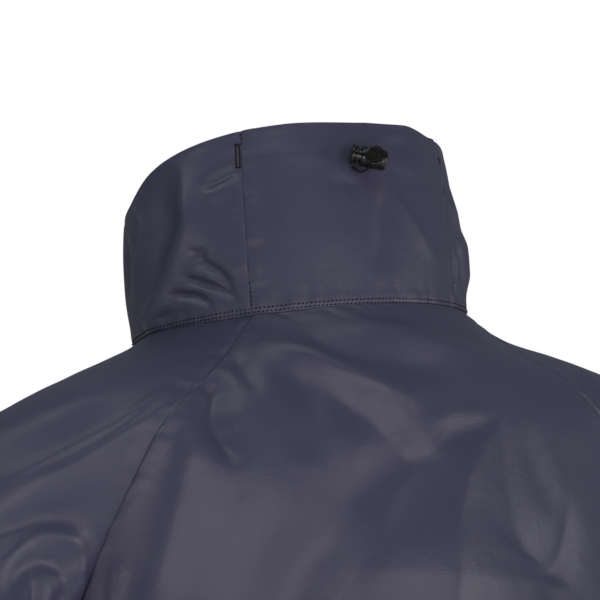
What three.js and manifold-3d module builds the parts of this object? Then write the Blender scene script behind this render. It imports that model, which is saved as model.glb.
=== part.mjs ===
// A windbreaker with a tall stand collar, filled out as worn with nobody in it.
// Millimetres, +Z up. The front faces -Y and the wearer's left is +X. The origin is on the
// centre plane, level with the places where the collar seam crosses the shoulders.
import * as THREE from "three";
import Module from "manifold-3d";
import { mergeVertices } from "three/addons/utils/BufferGeometryUtils.js";

const wasm = await Module();
wasm.setup();

// Driving sizes
const clothWall = 2; // two layers and a seam allowance, as one wall
const seamGap = 0.3; // between neighbouring pieces
const tapeWall = 1;
const zipHalf = 6.5; // from the centre plane to the turned edge of each front
const chainHalf = 3; // half the width of the closed zip chain
const chainThick = 2;
const chainSet = 1; // depth of the chain's face behind the cloth's face
const tapeReach = 11; // how far a zip tape runs in under the front's turned edge
const collarFoot = { half: 88, deep: 78 }; // the collar seam, from above
const collarTop = { half: 87, back: 65.5, front: 68, shift: -11 }; // the collar's top edge, from above
const collarBow = 3; // how far the collar's wall bows out at half its height
const collarTaper = 0.09; // how far its panels' seams lean to the centre back at the top, in radians
const cuff = { length: 42, narrow: 0.86 }; // its length, and its girth as a share of the sleeve's end
const foldFade = 0.1; // share of a panel over which its folds die out beside a seam
const shortStep = 0.01; // share of a panel over which its direction is taken

// Zip slider, measured across, up the zip and out from the cloth's face
const slider = { half: 5, low: -6, high: 6, round: 1.6, taper: 0.8, plate: 1.4, face: 0.7, deep: -5 };
const post = { half: 1.8, low: 3.2, high: 5.7 }; // joins the slider's two plates above the chain
const wing = { wide: 1.1, low: -3.8, high: 4.2, deep: -2 }; // the slider's turned-in sides
const pull = { pivotUp: 0.5, pivotOut: 2.5, half: 3.4, end: -24, thick: 1.5, round: 1.4, taper: 0.5 };
const pin = { radius: 0.75, half: 1.5, bite: 0.8 }; // crosses the slot in the pull's head
const slotEnd = -4;
const lug = { half: 1.1, hole: 1.15, round: 2.1 };
const zipBox = { half: 5.5, tall: 9, round: 1.2, face: -0.3, deep: -4.2, level: 1.985 };
const levelLength = 480; // length of the front that one level below the underarm covers
const sliderHeight = 0.8; // share of the collar's height where the slider stands
const tapeHeight = 0.96; // share of the collar's height where the zip tape ends
const sunk = 0.4; // how far two joined solids run into each other

// Cord lock, measured along its barrel, up the collar and out from the collar's face
const lock = { across: 0.055, height: 0.775, turn: -22, tilt: -20, out: 8.4 };
const barrel = { start: -4, end: 9, radius: 5.2, edge: 0.4, round: 2, bore: 3.9, boreEnd: -2.2 };
const boss = { at: 2, radius: 5, out: 5.7, dish: 4.2, dishDeep: 0.6 };
const plunger = { stem: 3.5, stemEnd: -3.9, cap: 5, edge: 0.3, capStart: -9, capEnd: -7.6 };
const rib = { start: -6.9, end: -6, radius: 4.7 };
const tunnel = { start: -0.3, end: 2.1, half: 1.2 }; // runs down through the barrel
const cordRadius = 0.6;

// Levels down the garment: 0 at the collar seam, 1 at the underarm, 2 at the hem or the sleeve's end.
const centreBack = table("level y z pull", [
  [0, 78, 15, 76],
  [0.18, 91, 0, 96],
  [0.38, 103, -28, 122],
  [0.6, 115, -78, 160],
  [0.8, 122, -138, 198],
  [1, 127, -208, 250],
  [1.3, 128, -345, 295],
  [1.65, 123, -525, 305],
  [2, 122, -716, 310],
]);
const backSeam = table("level x y z crevice bodyPull sleevePull", [
  [0, 66, 52, 10, 0, 71, 60],
  [0.18, 89, 64, -8, 0, 88, 70],
  [0.38, 113, 73, -24, 0, 104, 82],
  [0.56, 135, 76, -42, 0.04, 122, 96],
  [0.7, 147, 72, -66, 0.14, 134, 112],
  [0.82, 159, 60, -102, 0.36, 148, 140],
  [0.92, 172, 44, -155, 0.66, 168, 200],
  [1, 184, 4, -225, 1, 208, 290],
]);
const overArm = table("level x y z fall pull", [
  [0, 88, 0, 0, 0.19, 57],
  [0.18, 119, 20, -9, 0.14, 72],
  [0.38, 153, 30, -20, 0.1, 88],
  [0.56, 186, 31, -33, 0.07, 104],
  [0.7, 218, 26, -50, 0.04, 122],
  [0.82, 250, 17, -80, 0.02, 150],
  [0.92, 279, 9, -128, 0, 200],
  [1, 301, 3, -190, 0, 290],
  [1.25, 326, -2, -318, 0, 268],
  [1.5, 346, -10, -430, 0, 240],
  [1.75, 359, -30, -540, 0, 212],
  [2, 368, -58, -648, 0, 184],
]);
const frontSeam = table("level x y z crevice bodyPull sleevePull", [
  [0, 57, -60, -11.5, 0, 66, 60],
  [0.18, 75, -72, -34, 0, 76, 74],
  [0.38, 93, -80, -60, 0, 90, 88],
  [0.56, 115, -84, -88, 0.06, 108, 100],
  [0.7, 134, -80, -114, 0.16, 124, 116],
  [0.82, 152, -67, -146, 0.38, 142, 140],
  [0.92, 170, -42, -184, 0.66, 166, 200],
  [1, 184, 4, -225, 1, 208, 290],
]);
const centreFront = table("level y z pull", [
  [0, -78, -15, 56],
  [0.18, -87, -38, 80],
  [0.38, -98, -72, 104],
  [0.6, -111, -118, 140],
  [0.8, -119, -168, 188],
  [1, -125, -226, 246],
  [1.3, -126, -358, 290],
  [1.65, -120, -530, 300],
  [2, -118, -702, 305],
]);
const sideSeam = table("level x y z pull", [
  [1, 184, 4, -225, 208],
  [1.3, 189, 3, -352, 212],
  [1.65, 191, 1, -528, 205],
  [2, 194, 1, -709, 203],
]);
const underArm = table("level x y z pull", [
  [1, 184, 4, -225, 290],
  [1.25, 215, 1, -338, 268],
  [1.5, 242, -9, -450, 240],
  [1.75, 264, -31, -560, 212],
  [2, 284, -61, -668, 184],
]);
// The collar's top edge above the origin, by the angle round from the centre back.
const collarEdge = table("angle z", [
  [0, 104.5],
  [30, 103],
  [60, 94],
  [85, 80],
  [105, 63],
  [135, 50],
  [180, 44],
]);

const rightSeam = table("height across", [
  [0, -0.73],
  [0.5, -0.745],
  [0.76, -0.86],
  [1, -0.9],
]);

const cloth = { color: 0x3f3e50, roughness: 0.62, metalness: 0 };
const trim = { color: 0x1d1d24, roughness: 0.7, metalness: 0 };
const plastic = { color: 0x141414, roughness: 0.35, metalness: 0 };
const elastic = { color: 0x16161c, roughness: 0.8, metalness: 0 };

function table(names, rows) {
  const keys = names.split(" ");
  return rows.map((row) => Object.fromEntries(keys.map((key, i) => [key, row[i]])));
}

function smooth(a, b, slopeA, slopeB, f) {
  const g = 1 - f;
  return a * g * g * (1 + 2 * f) + b * f * f * (3 - 2 * f) + slopeA * f * g * g - slopeB * f * f * g;
}

// Every column of a table at a place along it, as a smooth curve through its rows.
function at(rows, place) {
  const first = Object.keys(rows[0])[0];
  const last = rows.length - 1;
  const next = Math.max(1, Math.min(last, rows.findIndex((row) => row[first] >= place - 1e-9)));
  const [a, b] = [rows[next - 1], rows[next]];
  const span = b[first] - a[first];
  const slope = (i, key) => {
    const [p, q] = [rows[Math.max(i - 1, 0)], rows[Math.min(i + 1, last)]];
    return (q[key] - p[key]) / (q[first] - p[first]);
  };
  const f = (place - a[first]) / span;
  const value = (key) => smooth(a[key], b[key], slope(next - 1, key) * span, slope(next, key) * span, f);
  return Object.fromEntries(Object.keys(a).map((key) => [key, value(key)]));
}

function point(row) {
  return new THREE.Vector3(row.x ?? 0, row.y, row.z);
}

// The curve from one point to another that leaves and arrives along two given pulls.
function arc(from, to, leave, arrive, f) {
  const along = (key) => smooth(from[key], to[key], leave[key], arrive[key], f);
  return new THREE.Vector3(along("x"), along("y"), along("z"));
}

// The pull across a seam: straight across it where the cloth is flat, and turned towards a
// crevice where the sleeve and the body part under the arm.
function seamPull(before, after, crevice, side, length) {
  const across = after.clone().sub(before).normalize();
  return across.lerp(new THREE.Vector3(0, side, 0), crevice).setLength(length);
}

// One level of the left half: its rows in the tables, and the seams on each side of the arm.
function levelKeys(level) {
  const keys = { back: at(centreBack, level), arm: at(overArm, level), front: at(centreFront, level) };
  keys.front.x = zipHalf;
  if (level <= 1) {
    const [rear, fore] = [at(backSeam, level), at(frontSeam, level)];
    return { ...keys, rear, fore, bodyRear: rear, bodyFore: fore };
  }
  const under = { ...at(underArm, level), crevice: 1 };
  const side = { ...at(sideSeam, level), crevice: 1 };
  return { ...keys, rear: under, fore: under, bodyRear: side, bodyFore: side };
}

// Back panel, left half: 0 at the centre back, 1 at the raglan or side seam.
function backPoint(across, level) {
  const { back, arm, bodyRear: seam } = levelKeys(level);
  const leave = new THREE.Vector3(back.pull, 0, 0);
  const arrive = seamPull(point(back), point(arm), seam.crevice, -1, seam.bodyPull ?? seam.pull);
  return arc(point(back), point(seam), leave, arrive, across);
}

// Left front: 0 at the seam, 1 at the zip.
function frontPoint(across, level) {
  const { arm, front, bodyFore: seam } = levelKeys(level);
  const leave = seamPull(point(arm), point(front), seam.crevice, -1, seam.bodyPull ?? seam.pull);
  const arrive = new THREE.Vector3(-front.pull, 0, 0);
  return arc(point(seam), point(front), leave, arrive, across);
}

// Left sleeve: 0 at its back seam, a half over the arm, 1 at its front seam.
function sleevePoint(across, level) {
  const { back, arm, front, rear, fore } = levelKeys(level);
  const top = new THREE.Vector3(0, -1, -arm.fall).setLength(arm.pull);
  const leave = seamPull(point(back), point(arm), rear.crevice, 1, rear.sleevePull ?? rear.pull);
  const arrive = seamPull(point(arm), point(front), fore.crevice, 1, fore.sleevePull ?? fore.pull);
  return across < 0.5
    ? arc(point(rear), point(arm), leave, top, across * 2)
    : arc(point(arm), point(fore), top, arrive, across * 2 - 1);
}

// Collar: the foot of a place is on the collar seam, and the place rises from it.
function collarPoint(foot, height) {
  const footAngle = Math.atan2(foot.x / collarFoot.half, foot.y / collarFoot.deep);
  const angle = footAngle - collarTaper * Math.sin(footAngle);
  const depth = Math.cos(angle) > 0 ? collarTop.back : collarTop.front;
  const z = at(collarEdge, Math.abs(THREE.MathUtils.radToDeg(angle))).z;
  const out = new THREE.Vector3(Math.sin(angle), Math.cos(angle), 0);
  const crown = new THREE.Vector3(collarTop.half * out.x, collarTop.shift + depth * out.y, z);
  if (Math.abs(foot.x - zipHalf) < seamGap) crown.x = zipHalf; // the edge at the zip stands straight
  const bow = collarBow * 4 * height * (1 - height);
  return foot.clone().lerp(crown, height).addScaledVector(out, bow);
}

// The way out of the cloth at one place of a grid: rows down, columns across. The places that
// lie just past its first and last columns, where given, make it the same for both neighbours.
function outwards(rows, i, j, before = [], after = []) {
  const [m, n] = [rows.length, rows[0].length];
  const down = rows[Math.min(i + 1, m - 1)][j].clone().sub(rows[Math.max(i - 1, 0)][j]);
  const next = j < n - 1 ? rows[i][j + 1] : (after[i] ?? rows[i][j]);
  const last = j > 0 ? rows[i][j - 1] : (before[i] ?? rows[i][j]);
  return next.clone().sub(last).cross(down).normalize();
}

// A closed wall of cloth through a grid of places, with the given wall on its inner side, and
// its edges drawn in by half a seam gap.
function clothGeometry(rows, wall, before, after) {
  const inset = seamGap / 2;
  const [m, n] = [rows.length, rows[0].length];
  const drawn = (i, j) => {
    const p = rows[i][j].clone();
    const step = (q) => p.add(q.clone().sub(rows[i][j]).setLength(inset));
    if (i === 0) step(rows[1][j]);
    if (i === m - 1) step(rows[m - 2][j]);
    if (j === 0) step(rows[i][1]);
    if (j === n - 1) step(rows[i][n - 2]);
    return p;
  };
  const outer = rows.map((row, i) => row.map((_, j) => drawn(i, j)));
  const under = (i, j) => outer[i][j].clone().addScaledVector(outwards(rows, i, j, before, after), -wall);
  const inner = rows.map((row, i) => row.map((_, j) => under(i, j)));
  const faces = [];
  const points = [...outer.flat(), ...inner.flat()];
  const quad = (a, b, c, d) =>
    points[a].distanceTo(points[c]) < points[b].distanceTo(points[d])
      ? faces.push(a, c, b, a, d, c)
      : faces.push(a, d, b, b, d, c);
  const [o, q] = [(i, j) => i * n + j, (i, j) => m * n + i * n + j];
  for (let i = 0; i < m - 1; i++)
    for (let j = 0; j < n - 1; j++) {
      quad(o(i, j), o(i + 1, j), o(i + 1, j + 1), o(i, j + 1));
      quad(q(i, j), q(i, j + 1), q(i + 1, j + 1), q(i + 1, j));
    }
  for (let j = 0; j < n - 1; j++) {
    quad(o(0, j), o(0, j + 1), q(0, j + 1), q(0, j));
    quad(o(m - 1, j), q(m - 1, j), q(m - 1, j + 1), o(m - 1, j + 1));
  }
  for (let i = 0; i < m - 1; i++) {
    quad(o(i, 0), q(i, 0), q(i + 1, 0), o(i + 1, 0));
    quad(o(i, n - 1), o(i + 1, n - 1), q(i + 1, n - 1), q(i, n - 1));
  }
  const geometry = new THREE.BufferGeometry().setFromPoints(points);
  geometry.setIndex(faces);
  return geometry;
}

function mirrored(p) {
  return new THREE.Vector3(-p.x, p.y, p.z);
}

function steps(count, from = 0, to = 1) {
  return Array.from({ length: count + 1 }, (_, i) => from + ((to - from) * i) / count);
}

const garment = new THREE.Group();
function addPiece(name, geometry, look, parent = garment) {
  const mesh = new THREE.Mesh(geometry, new THREE.MeshStandardMaterial(look));
  mesh.name = name;
  parent.add(mesh);
  return mesh;
}

// The largest folds. Each runs over its panel through places given as across and level, with
// its half width and its height, which is below zero for a trough.
const backFolds = [
  { through: [[0.8, 0.1], [0.53, 0.19], [0.33, 0.28], [0.12, 0.34]], wide: 15, high: -3 },
  { through: [[0.86, 0.5], [0.85, 0.7], [0.82, 0.85]], wide: 13, high: 3 },
  { through: [[0.3, 0.42], [0.12, 0.53], [0.2, 0.7], [0.3, 0.9]], wide: 24, high: 4 },
  { through: [[-0.38, 0.44], [-0.13, 0.56], [0.02, 0.78], [0, 1]], wide: 22, high: -4 },
  { through: [[-0.9, 0.62], [-0.6, 0.76], [-0.4, 0.95]], wide: 18, high: -4 },
  { through: [[0.5, 1.12], [0.56, 1.5], [0.5, 1.95]], wide: 30, high: 5 },
  { through: [[0.1, 1.2], [0.06, 1.6], [0.12, 1.98]], wide: 26, high: -4 },
  { through: [[-0.42, 1.05], [-0.5, 1.45], [-0.44, 1.9]], wide: 30, high: 5 },
  { through: [[-0.8, 1.1], [-0.76, 1.5], [-0.82, 1.95]], wide: 24, high: -4 },
];
const frontFolds = [
  { through: [[0.12, 0.8], [0.4, 0.97], [0.62, 1.15]], wide: 20, high: -4 },
  { through: [[0.35, 1.1], [0.45, 1.5], [0.4, 1.95]], wide: 28, high: 5 },
  { through: [[0.74, 1.15], [0.7, 1.6], [0.76, 1.95]], wide: 20, high: -3 },
  { through: [[0.5, 0.25], [0.42, 0.55], [0.3, 0.75]], wide: 20, high: 3 },
];
const sleeveFolds = [
  { through: [[0.07, 0.38], [0.1, 0.55], [0.17, 0.68], [0.3, 0.78]], wide: 13, high: 3.5 },
  { through: [[0.12, 0.88], [0.28, 0.97], [0.42, 1.04]], wide: 15, high: -5 },
  { through: [[0.9, 0.86], [0.74, 0.96], [0.6, 1.02]], wide: 15, high: -5 },
  { through: [[0.62, 1.34], [0.8, 1.42], [0.94, 1.4]], wide: 14, high: -5 },
  { through: [[0.58, 1.5], [0.76, 1.53], [0.94, 1.5]], wide: 14, high: -6 },
  { through: [[0.06, 1.3], [0.22, 1.38], [0.4, 1.36]], wide: 16, high: -4 },
  { through: [[0.2, 1.6], [0.36, 1.72], [0.6, 1.76]], wide: 16, high: -4 },
  { through: [[0.1, 1.9], [0.4, 1.93], [0.8, 1.89]], wide: 13, high: 4 },
];

// How far one fold lifts a place: most along the middle of its line, fading sideways and to its ends.
function foldLift(line, fold, place) {
  let best = { gap: Infinity, share: 0 };
  line.slice(1).forEach((end, i) => {
    const closest = new THREE.Vector3();
    const f = new THREE.Line3(line[i], end).closestPointToPointParameter(place, true);
    closest.lerpVectors(line[i], end, f);
    const gap = closest.distanceTo(place);
    if (gap < best.gap) best = { gap, share: (i + f) / (line.length - 1) };
  });
  const length = Math.sqrt(Math.max(0, Math.sin(Math.PI * best.share)));
  return fold.high * length * Math.exp(-((best.gap / fold.wide) ** 2));
}

// A panel's places with its folds raised on them. The panel may run to both sides of zero.
function foldedRows(placeAt, folds, levels, acrosses) {
  const lines = folds.map((fold) => fold.through.map(([across, level]) => placeAt(across, level)));
  const fade = (share) => THREE.MathUtils.smoothstep(share, 0, foldFade);
  return levels.map((level) => acrosses.map((across) => {
    const place = placeAt(across, level);
    const near = acrosses[0] < 0 ? 1 - Math.abs(across) : Math.min(across, 1 - across);
    const lift = folds.reduce((sum, fold, i) => sum + foldLift(lines[i], fold, place), 0);
    return place.addScaledVector(wayOut(placeAt, across, level), lift * fade(near) * fade(level));
  }));
}

// The way out of a panel, from two short steps over it that stay on it.
function wayOut(placeAt, across, level) {
  const stepAcross = across > 0.5 ? -shortStep : shortStep;
  const stepDown = level > 1 ? -shortStep : shortStep;
  const place = placeAt(across, level);
  const side = placeAt(across + stepAcross, level).sub(place);
  const down = placeAt(across, level + stepDown).sub(place);
  return side.cross(down).setLength(Math.sign(stepAcross * stepDown));
}

// The yoke's levels stand closer together towards the underarm, where the seams turn.
const yokeLevels = [0, 0.08, 0.18, 0.28, 0.38, 0.47, 0.56, 0.63, 0.7, 0.76, 0.82, 0.87, 0.92, 0.96, 1];
const bodyLevels = [...yokeLevels, ...steps(8, 1, 2).slice(1)];
const sleeveLevels = [...yokeLevels, ...steps(12, 1, 2).slice(1)];
const backPlace = (across, level) => {
  const place = backPoint(Math.abs(across), level);
  return across < 0 ? mirrored(place) : place;
};
const turned = (rows) => rows.map((row) => [...row].reverse().map(mirrored));

// Rows run from the wearer's right to left over the back, and from back to front on the left.
const backRows = foldedRows(backPlace, backFolds, bodyLevels, steps(18, -1, 1));
const sleeveRows = foldedRows(sleevePoint, sleeveFolds, sleeveLevels, steps(14));
const frontRows = foldedRows(frontPoint, frontFolds, bodyLevels, steps(8));

// What lies just past each side of a piece: over the raglan seam down to the underarm, and
// over the side seam or the underarm seam below it.
const raglan = yokeLevels.length - 1;
const pastBack = bodyLevels.map((_, i) => (i < raglan ? sleeveRows[i] : frontRows[i])[1]);
const pastFront = bodyLevels.map((_, i) => (i < raglan ? sleeveRows : backRows)[i].at(-2));
const pastSleeveRear = sleeveLevels.map((_, i) => (i < raglan ? backRows : sleeveRows)[i].at(-2));
const pastSleeveFore = sleeveLevels.map((_, i) => (i < raglan ? frontRows : sleeveRows)[i][1]);

function addPair(name, rows, wall, before, after, look) {
  addPiece(name + "_left", clothGeometry(rows, wall, before, after), look);
  const [rightBefore, rightAfter] = [after, before].map((places) => places.map(mirrored));
  addPiece(name + "_right", clothGeometry(turned(rows), wall, rightBefore, rightAfter), look);
}
addPiece("back_panel", clothGeometry(backRows, clothWall, pastBack.map(mirrored), pastBack), cloth);
addPair("sleeve", sleeveRows, clothWall, pastSleeveRear, pastSleeveFore, cloth);
addPair("front", frontRows, clothWall, pastFront, [], cloth);

// Collar: three panels on the top rows of the yoke. The back panel's right seam is in from
// the raglan seam, and its left one is on it.
const collarHeights = steps(5).reverse();
const collarRows = (feet) => collarHeights.map((height) => feet.map((foot) => collarPoint(foot, height)));
const sideFeet = [...sleeveRows[0], ...frontRows[0].slice(1)];
const backRow = (height, from, to, count) =>
  steps(count, from, to).map((across) => collarPoint(backPlace(across, 0), height));
const seamPlaces = collarHeights.map((height) => at(rightSeam, height).across);
const collarBackRows = collarHeights.map((height, i) => backRow(height, seamPlaces[i], 1, 16));
const leftSideRows = collarRows(sideFeet);
const pastRaglan = collarHeights.map((height, i) => backRow(height, -1, seamPlaces[i], 3).slice(1));
const rightSideRows = turned(leftSideRows).map((row, i) => [...row, ...pastRaglan[i]]);
const [pastRight, pastLeft] = [rightSideRows.map((row) => row.at(-2)), collarBackRows.map((row) => row[1])];
addPiece("collar_back", clothGeometry(collarBackRows, clothWall, pastRight), cloth);
addPiece("collar_side_left", clothGeometry(leftSideRows, clothWall), cloth);
addPiece("collar_side_right", clothGeometry(rightSideRows, clothWall, [], pastLeft), cloth);

// Cuffs: a narrower band on the end of each sleeve, along the line of the forearm.
function middle(places) {
  return places.reduce((sum, place) => sum.add(place), new THREE.Vector3()).divideScalar(places.length);
}
const sleeveEnd = sleeveRows.at(-1);
const wrist = middle(sleeveEnd.slice(1));
const forearm = wrist.clone().sub(middle(sleeveRows.at(-2).slice(1))).normalize();
const cuffShape = table("down girth", [
  [0, 1],
  [0.12, 0.97],
  [0.3, cuff.narrow],
  [0.65, cuff.narrow],
  [1, cuff.narrow],
]);
const cuffPlace = (place, { down, girth }) =>
  wrist.clone().lerp(place, girth).addScaledVector(forearm, seamGap + down * cuff.length);
const cuffRows = cuffShape.map((row) => sleeveEnd.map((place) => cuffPlace(place, row)));
const [pastCuffRear, pastCuffFore] = [cuffRows.map((row) => row.at(-2)), cuffRows.map((row) => row[1])];
addPair("cuff", cuffRows, clothWall, pastCuffRear, pastCuffFore, cloth);

// Zip: its line runs from the collar's top down to the box above the hem. A row of a tape
// follows the row of the front that it lies under: from where it ends there, past the turned
// edge, to beside the chain.
function tapeRow(row) {
  const edge = row.at(-1);
  const before = row.findLastIndex((place) => place.distanceTo(edge) >= tapeReach);
  const [far, near] = [row[before], row[before + 1]];
  const share = (far.distanceTo(edge) - tapeReach) / far.distanceTo(near);
  return [far.clone().lerp(near, share), edge, new THREE.Vector3(chainHalf + seamGap, edge.y, edge.z)];
}
const boxTop = zipBox.level - (zipBox.tall + seamGap) / levelLength;
const tapeTop = sideFeet.map((foot) => collarPoint(foot, tapeHeight));
const [tapeEnd] = foldedRows(frontPoint, frontFolds, [boxTop], steps(8));
const tapeLines = [tapeTop, ...collarRows(sideFeet).slice(1), ...frontRows.slice(1, -1), tapeEnd];
const tapeRows = tapeLines.map(tapeRow);

// Every place of a grid moved to its inner side.
function movedIn(rows, depth) {
  const move = (place, i, j) => place.clone().addScaledVector(outwards(rows, i, j), -depth);
  return rows.map((row, i) => row.map((place, j) => move(place, i, j)));
}
addPair("zip_tape", movedIn(tapeRows, clothWall + seamGap), tapeWall, [], [], trim);

// The chain is one closed row of teeth, from the slider's bridge down to the box.
const zipPlace = (height) => collarPoint(frontPoint(1, 0), height).setX(0);
const sliderPlace = zipPlace(sliderHeight);
const sliderUp = zipPlace(sliderHeight + 0.05).sub(sliderPlace).normalize();
const acrossChain = ({ y, z }) => [chainHalf, -chainHalf].map((x) => new THREE.Vector3(x, y, z));
const chainEnd = sliderPlace.clone().addScaledVector(sliderUp, post.low - seamGap);
const chainPlaces = [chainEnd, ...tapeRows.slice(2).map((row) => row[1])];
addPiece("zip_chain", clothGeometry(movedIn(chainPlaces.map(acrossChain), chainSet), chainThick), trim);

// Solids of the hard pieces, joined and cut in their own frames.
function solid(geometry) {
  const bare = geometry.index ? geometry.toNonIndexed() : geometry;
  const shape = new THREE.BufferGeometry().setAttribute("position", bare.getAttribute("position"));
  const merged = mergeVertices(shape, 1e-4);
  const vertProperties = merged.attributes.position.array;
  const triVerts = new Uint32Array(merged.index.array);
  return new wasm.Manifold(new wasm.Mesh({ numProp: 3, vertProperties, triVerts }));
}

function geometryOf(made) {
  const { vertProperties, triVerts } = made.getMesh();
  const geometry = new THREE.BufferGeometry();
  geometry.setAttribute("position", new THREE.BufferAttribute(vertProperties, 3));
  return geometry.setIndex(new THREE.BufferAttribute(triVerts, 1));
}

function box(x0, x1, y0, y1, z0, z1) {
  const size = new THREE.BoxGeometry(x1 - x0, y1 - y0, z1 - z0);
  return solid(size.translate((x0 + x1) / 2, (y0 + y1) / 2, (z0 + z1) / 2));
}

// A flat plate from its outline, between two heights.
function plate(shape, low, high) {
  const sides = { depth: high - low, bevelEnabled: false, curveSegments: 8 };
  return solid(new THREE.ExtrudeGeometry(shape, sides).translate(0, 0, low));
}

// An upright outline with rounded corners, narrower by its taper on each side at the low end.
function roundedShape(half, low, high, round, taper = 0) {
  const shape = new THREE.Shape();
  shape.moveTo(-half + taper + round, low);
  shape.lineTo(half - taper - round, low);
  shape.quadraticCurveTo(half - taper, low, half - taper, low + round);
  shape.lineTo(half, high - round);
  shape.quadraticCurveTo(half, high, half - round, high);
  shape.lineTo(-half + round, high);
  shape.quadraticCurveTo(-half, high, -half, high - round);
  shape.lineTo(-half + taper, low + round);
  shape.quadraticCurveTo(-half + taper, low, -half + taper + round, low);
  return shape;
}

// A group standing on the cloth: +Y runs up it and +Z out of it, before its own turn and tilt.
function standingGroup(place, up, out, turn = 0, tilt = 0) {
  const group = new THREE.Group();
  const side = up.clone().cross(out).normalize();
  const rightUp = out.clone().cross(side).normalize();
  group.quaternion.setFromRotationMatrix(new THREE.Matrix4().makeBasis(side, rightUp, out));
  group.rotateY(THREE.MathUtils.degToRad(turn));
  group.rotateZ(THREE.MathUtils.degToRad(tilt));
  group.position.copy(place);
  garment.add(group);
  return group;
}

const zipSide = new THREE.Vector3(1, 0, 0);
const sliderGroup = standingGroup(sliderPlace, sliderUp, zipSide.clone().cross(sliderUp));

// The crown stands on the slider's front and is bored across for the pull's pin.
function crownSolid() {
  const { pivotUp, pivotOut } = pull;
  const low = slider.face - sunk;
  const arch = new THREE.Shape();
  arch.moveTo(pivotUp - lug.round, low);
  arch.lineTo(pivotUp + lug.round, low);
  arch.lineTo(pivotUp + lug.round, pivotOut);
  arch.absarc(pivotUp, pivotOut, lug.round, 0, Math.PI, false);
  arch.holes.push(new THREE.Path().absarc(pivotUp, pivotOut, lug.hole, 0, 2 * Math.PI, true));
  const sides = { depth: 2 * lug.half, bevelEnabled: false, curveSegments: 12 };
  const [across, up, out] = [[1, 0, 0], [0, 1, 0], [0, 0, 1]].map((axis) => new THREE.Vector3(...axis));
  const turn = new THREE.Matrix4().makeBasis(up, out, across);
  return solid(new THREE.ExtrudeGeometry(arch, sides).applyMatrix4(turn).translate(-lug.half, 0, 0));
}

function sliderSolid() {
  const { half, low, high, round, taper, plate: thick, face, deep } = slider;
  const outline = roundedShape(half, low, high, round, taper);
  const pieces = [
    plate(outline, face - thick, face),
    plate(outline, deep, deep + thick),
    box(-post.half, post.half, post.low, post.high, deep + sunk, face - sunk),
    box(half - wing.wide, half, wing.low, wing.high, wing.deep, face - sunk),
    box(-half, wing.wide - half, wing.low, wing.high, wing.deep, face - sunk),
    crownSolid(),
  ];
  return wasm.Manifold.union(pieces);
}

// The pull's two arms straddle the crown, and its pin runs through the crown's hole.
function pullSolid() {
  const { pivotUp, pivotOut, half, end, thick, round, taper } = pull;
  const outline = roundedShape(half, end, pivotUp + pin.radius / 2, round, taper);
  const body = plate(outline, pivotOut - thick / 2, pivotOut + thick / 2);
  const slot = box(-pin.half, pin.half, slotEnd, pivotUp + thick, pivotOut - thick, pivotOut + thick);
  const rod = new THREE.CylinderGeometry(pin.radius, pin.radius, 2 * (pin.half + pin.bite), 16);
  return body.subtract(slot).add(solid(rod.rotateZ(Math.PI / 2).translate(0, pivotUp, pivotOut)));
}
addPiece("zip_slider", geometryOf(sliderSolid()), plastic, sliderGroup);
addPiece("zip_pull", geometryOf(pullSolid()), plastic, sliderGroup);

const boxPlace = frontPoint(1, zipBox.level).setX(0);
const boxUp = frontPoint(1, zipBox.level - 0.02).setX(0).sub(boxPlace).normalize();
const boxGroup = standingGroup(boxPlace, boxUp, zipSide.clone().cross(boxUp));
const boxShape = roundedShape(zipBox.half, 0, zipBox.tall, zipBox.round);
addPiece("zip_box", geometryOf(plate(boxShape, zipBox.deep, zipBox.face)), plastic, boxGroup);

// Cord lock: a barrel with a sprung plunger in its end, on a loop of elastic cord that comes
// out of the collar behind it.
const lockFoot = backPoint(lock.across, 0);
const lockPlace = collarPoint(lockFoot, lock.height);
const lockUp = collarPoint(lockFoot, lock.height + 0.05).sub(lockPlace).normalize();
const lockSide = collarPoint(backPoint(lock.across + 0.05, 0), lock.height).sub(lockPlace).normalize();
const lockGroup = standingGroup(lockPlace, lockUp, lockSide.cross(lockUp).negate(), lock.turn, lock.tilt);

// A turned solid along the barrel's line, from its radius at each place along.
function turnedSolid(profile) {
  const points = profile.map(([along, radius]) => new THREE.Vector2(radius, along));
  return solid(new THREE.LatheGeometry(points, 20).rotateZ(-Math.PI / 2)).translate([0, 0, lock.out]);
}

function barrelSolid() {
  const { start, end, radius, edge, round, bore, boreEnd } = barrel;
  const rounded = steps(5).map((f) => {
    const turn = (f * Math.PI) / 2;
    return [end - round + round * Math.sin(turn), radius - round + round * Math.cos(turn)];
  });
  const body = turnedSolid([[start, 0], [start, radius - edge], [start + edge, radius], ...rounded, [end, 0]]);
  const hole = turnedSolid([[start - sunk, 0], [start - sunk, bore], [boreEnd, bore], [boreEnd, 0]]);
  const drum = (r, low, high) =>
    solid(new THREE.CylinderGeometry(r, r, high - low, 24).rotateX(Math.PI / 2)
      .translate(boss.at, 0, lock.out + (low + high) / 2));
  const [reach, { half }] = [radius + sunk, tunnel];
  return body
    .add(drum(boss.radius, 0, boss.out))
    .subtract(drum(boss.dish, boss.out - boss.dishDeep, boss.out + sunk))
    .subtract(hole)
    .subtract(box(tunnel.start, tunnel.end, -reach, reach, lock.out - half, lock.out + half));
}

function plungerSolid() {
  const { stem, stemEnd, cap, edge, capStart, capEnd } = plunger;
  return turnedSolid([[capStart, 0], [capStart, cap - edge], [capStart + edge, cap], [capEnd - edge, cap],
    [capEnd, cap - edge], [capEnd, stem], [rib.start, stem], [rib.start, rib.radius],
    [rib.end, rib.radius], [rib.end, stem], [stemEnd, stem], [stemEnd, 0]]);
}
addPiece("lock_barrel", geometryOf(barrelSolid()), plastic, lockGroup);
addPiece("lock_plunger", geometryOf(plungerSolid()), plastic, lockGroup);

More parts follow.
